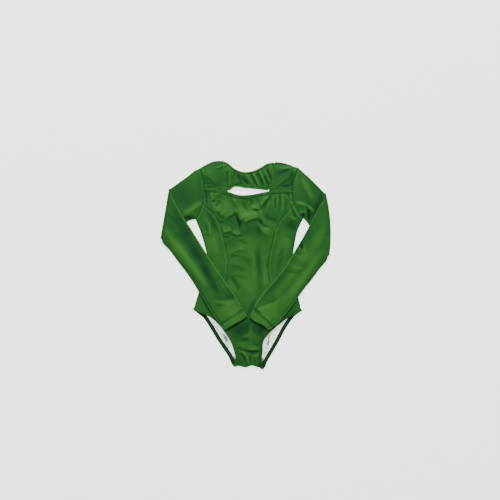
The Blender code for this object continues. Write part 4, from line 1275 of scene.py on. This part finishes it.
def build_cloth():
    """Every piece of the garment, by its short name."""
    green = cloth_material(
        "swim_knit_cloth", (0.010, 0.077, 0.020), (0.021, 0.134, 0.021), (0.047, 0.196, 0.029),
        0.55, 900.0, 0.04,
    )
    # The band cloth's darker greens are the knit's green in painted shade
    trim = cloth_material(
        "elastic_band_cloth", (0.004, 0.040, 0.011), (0.008, 0.060, 0.013), (0.020, 0.128, 0.016),
        0.6, 1100.0, 0.04, 14.0,
    )
    # The lining's grey is painted shade of its crinkles
    white = cloth_material(
        "lining_cloth", (0.16, 0.16, 0.17), (0.66, 0.66, 0.66), (0.94, 0.94, 0.93),
        0.8, 1300.0, 0.1, 30.0, LINING_GLOW,
    )
    thread = cloth_material(
        "thread_cloth", (0.006, 0.052, 0.012), (0.010, 0.066, 0.012), (0.018, 0.085, 0.012),
        0.5, 2600.0, 0.05, 60.0,
    )
    made = {}
    points, faces = [], []
    for plan in back_grids():
        flat = plan.reshape(-1, 2)
        rise = BACK_TOP + 0.05 * soft_noise(flat[:, 0], flat[:, 1], 25.0, 3)
        count = sum(len(p) for p in points)
        faces += [tuple(count + k for k in f) for f in wall_faces(*plan.shape[:2])]
        points += [np.column_stack([flat, np.zeros(len(flat))]), np.column_stack([flat, rise])]
    made["back"] = new_object("cloth_back", np.vstack(points), faces, green, ["back"])
    for name, grid in {"front_yoke": yoke_grid(), **front_grids()}.items():
        low = FRONT(grid[..., 0], grid[..., 1])
        made[name] = add_wall(
            "cloth_" + name, grid, low, low + WALL, green, [name],
            PAINTED_SHADING(grid[..., 0], grid[..., 1]),
        )
    rows, columns = 110, 90
    left = beside(part_of(spline(LEG_BACK_LEFT), 0.08, 0.9, rows), LEG_BAND + 1.0)[::-1]
    right = beside(part_of(spline(LEG_BACK_RIGHT), 0.08, 0.9, rows), -(LEG_BAND + 1.0))[::-1]
    u = np.linspace(0, 1, columns)[:, None]
    grid = coons(left, right, left[0] * (1 - u) + right[0] * u, left[-1] * (1 - u) + right[-1] * u)
    x, y = grid[..., 0], grid[..., 1]
    shows = np.zeros(x.shape)
    for points, sign in ((LEG_FRONT_LEFT, -1), (LEG_FRONT_RIGHT, 1)):
        far, side = nearest(x, y, part_of(spline(points), 0, 1, 60))[:2]
        shows = np.maximum(shows, smooth(far / 8) * (side == sign) * (sign * (x - 12) > 0))
    crumple = 1.6 * soft_noise(x, y * 1.4, 10.0, 51) + 1.6 * soft_noise(x, y, 21.0, 53) + 0.8
    ridge = np.exp(-(((x - (74 - 0.12 * (y + 260))) / 3.0) ** 2))
    crumple += 2.2 * ridge * smooth((y + 310) / 20) * smooth((-235 - y) / 10)
    # The lining's greys are painted shade of its crinkles and under the front's edges: LINING_SHADES and noise
    # where it shows
    made["back_lining"] = add_wall(
        "cloth_back_lining", grid, np.full(x.shape, LINING_LOW), LINING_TOP + shows * np.maximum(0, crumple),
        white, ["back_lining"],
        np.maximum(-1.6, 0.9 + 0.5 * shows * soft_noise(x, y * 1.3, 7.5, 57) + shades(x, y, LINING_SHADES)),
    )
    # The bands' last numbers are painted shade on their back runs and painted light or shade on their front
    # runs
    made["leg_left"] = wrapped_band(
        "cloth_leg_band_left", LEG_BACK_LEFT, LEG_FRONT_LEFT, LEG_BAND, 1, 105,
        ((0, -1), (-0.9, 0.1)), trim, 61, (-0.4, 1.4),
    )
    made["leg_right"] = wrapped_band(
        "cloth_leg_band_right", LEG_BACK_RIGHT, LEG_FRONT_RIGHT, LEG_BAND, -1, 105,
        ((0, -1), (0.9, 0.1)), trim, 67, (-0.4, 0.5),
    )
    made["neck"] = wrapped_band(
        "cloth_neck_band", NECK_BACK, NECK_FRONT, NECK_BAND, -1, 150,
        ((0, 1), (0, 1)), green, 71, (-0.6, 0.9),
    )
    top, bottom = chest_band_edges(149)
    rings = band_run(top, bottom, FRONT, False, 73, 8.0, 0.25)
    # The chest band is painted a little darker
    made["chest"] = new_object(
        "cloth_chest_band", rings.reshape(-1, 3), loop_faces(len(rings), rings.shape[1], False), green,
        ["chest_band"], np.full(rings.shape[:2], -0.4),
    )
    arch = part_of(spline(CUTOUT_TOP), 0.02, 0.99, 80)
    rings = band_run(arch, beside(arch, CUTOUT_BAND), FRONT, False, 79, 7.0, 0.3)
    # The cut-out band gets painted light on its raised binding
    made["cutout"] = new_object(
        "cloth_cutout_band", rings.reshape(-1, 3), loop_faces(len(rings), rings.shape[1], False), green,
        ["cutout_band"], np.full(rings.shape[:2], 0.9),
    )
    made["sleeve_left"], hem_left = add_sleeve(
        "cloth_sleeve_left", UPPER_LEFT, LOWER_LEFT, "left", UPPER_CREASES_LEFT, LOWER_CREASES_LEFT,
        (UPPER_SHADES_LEFT, LOWER_SHADES_LEFT), (400, -150), 7.0, (1.2, 1.0, 0.6, 0.3), green,
    )
    made["sleeve_right"], hem_right = add_sleeve(
        "cloth_sleeve_right", UPPER_RIGHT, LOWER_RIGHT, "right", UPPER_CREASES_RIGHT, LOWER_CREASES_RIGHT,
        (UPPER_SHADES_RIGHT, LOWER_SHADES_RIGHT), (60, -175), 5.0, (3.6, 1.0, 0.2, 0.4), green,
    )
    lines = []
    for share in (0.70, 0.86):
        run = top * (1 - share) + bottom * share
        lines.append(np.column_stack([run, FRONT(*run.T) + BAND_WALL - 0.12]))
    front_neck, neck_inner = band_lines(NECK_BACK, NECK_FRONT, NECK_BAND, -1, 150)[2:4]
    run = front_neck * 0.22 + neck_inner * 0.78
    lines.append(np.column_stack([run, over_back(*run.T) + BAND_WALL - 0.15])[4:-4])
    run = arch * 0.22 + beside(arch, CUTOUT_BAND) * 0.78
    lines.append(np.column_stack([run, FRONT(*run.T) + BAND_WALL - 0.15])[3:-3])
    for back, front, side in ((LEG_BACK_LEFT, LEG_FRONT_LEFT, 1), (LEG_BACK_RIGHT, LEG_FRONT_RIGHT, -1)):
        back_edge, back_inner, edge, inner = band_lines(back, front, LEG_BAND, side, 105)[:4]
        run = edge * 0.2 + inner * 0.8
        lines.append(np.column_stack([run, over_back(*run.T) + BAND_WALL - 0.15])[4:-4])
        run = back_edge * 0.2 + back_inner * 0.8
        lines.append(np.column_stack([run, np.full(len(run), BAND_WALL - 0.15)])[4:-4])
    made["stitching"] = stitches("stitching", lines, STITCH_PITCH, STITCH_SIZE, thread)
    made["hem_stitching"] = stitches(
        "hem_stitching", hem_left + hem_right, STITCH_PITCH, STITCH_SIZE, thread
    )
    return made


def build_stage():
    """A pale floor just under the garment, three lamps and a camera straight above, as in the photograph."""
    size, drop = FLOOR_HALF, FLOOR_DROP
    mesh = bpy.data.meshes.new("floor")
    mesh.from_pydata(
        [(-size, -size, -drop), (size, -size, -drop), (size, size, -drop), (-size, size, -drop)],
        [], [(0, 1, 2, 3)],
    )
    mesh.materials.append(floor_material())
    floor = bpy.data.objects.new("floor", mesh)
    bpy.context.scene.collection.objects.link(floor)
    for lamp in LAMPS:
        area_light(*lamp)
    world = bpy.data.worlds.new("studio")
    world.use_nodes = True
    world.node_tree.nodes["Background"].inputs["Color"].default_value = (1, 1, 1, 1)
    world.node_tree.nodes["Background"].inputs["Strength"].default_value = SKY
    bpy.context.scene.world = world
    data = bpy.data.cameras.new("camera")
    data.lens, data.sensor_width = LENS, SENSOR
    data.clip_end = 30
    camera = bpy.data.objects.new("camera", data)
    bpy.context.scene.collection.objects.link(camera)
    across, up = photo((PHOTO_SIDE / 2, PHOTO_SIDE / 2)) * MM
    camera.location = (across, up, PHOTO_SIDE * PX * MM * data.lens / data.sensor_width)
    bpy.context.scene.camera = camera


for old in list(bpy.data.objects):
    bpy.data.objects.remove(old)
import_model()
FRONT = Heights(front_form)
# Painted shading of the front: shade in its hollows, highlight on its ridges, and the painted light and shade
# of BODY_SHADES
PAINTED_SHADING = Heights(lambda x, y: crease_shading(FRONT.z, 4, 1.1) + shades(x, y, BODY_SHADES))
RESTS = {
    "left": rest_heights(UPPER_LEFT[0][2:4], UPPER_LEFT[-1][2:4]),
    "right": rest_heights(UPPER_RIGHT[0][2:4], UPPER_RIGHT[-1][2:4]),
}
OUT = {"left": (-0.986, 0.167), "right": (0.999, 0.047)}
build_stage()
pieces = build_cloth()
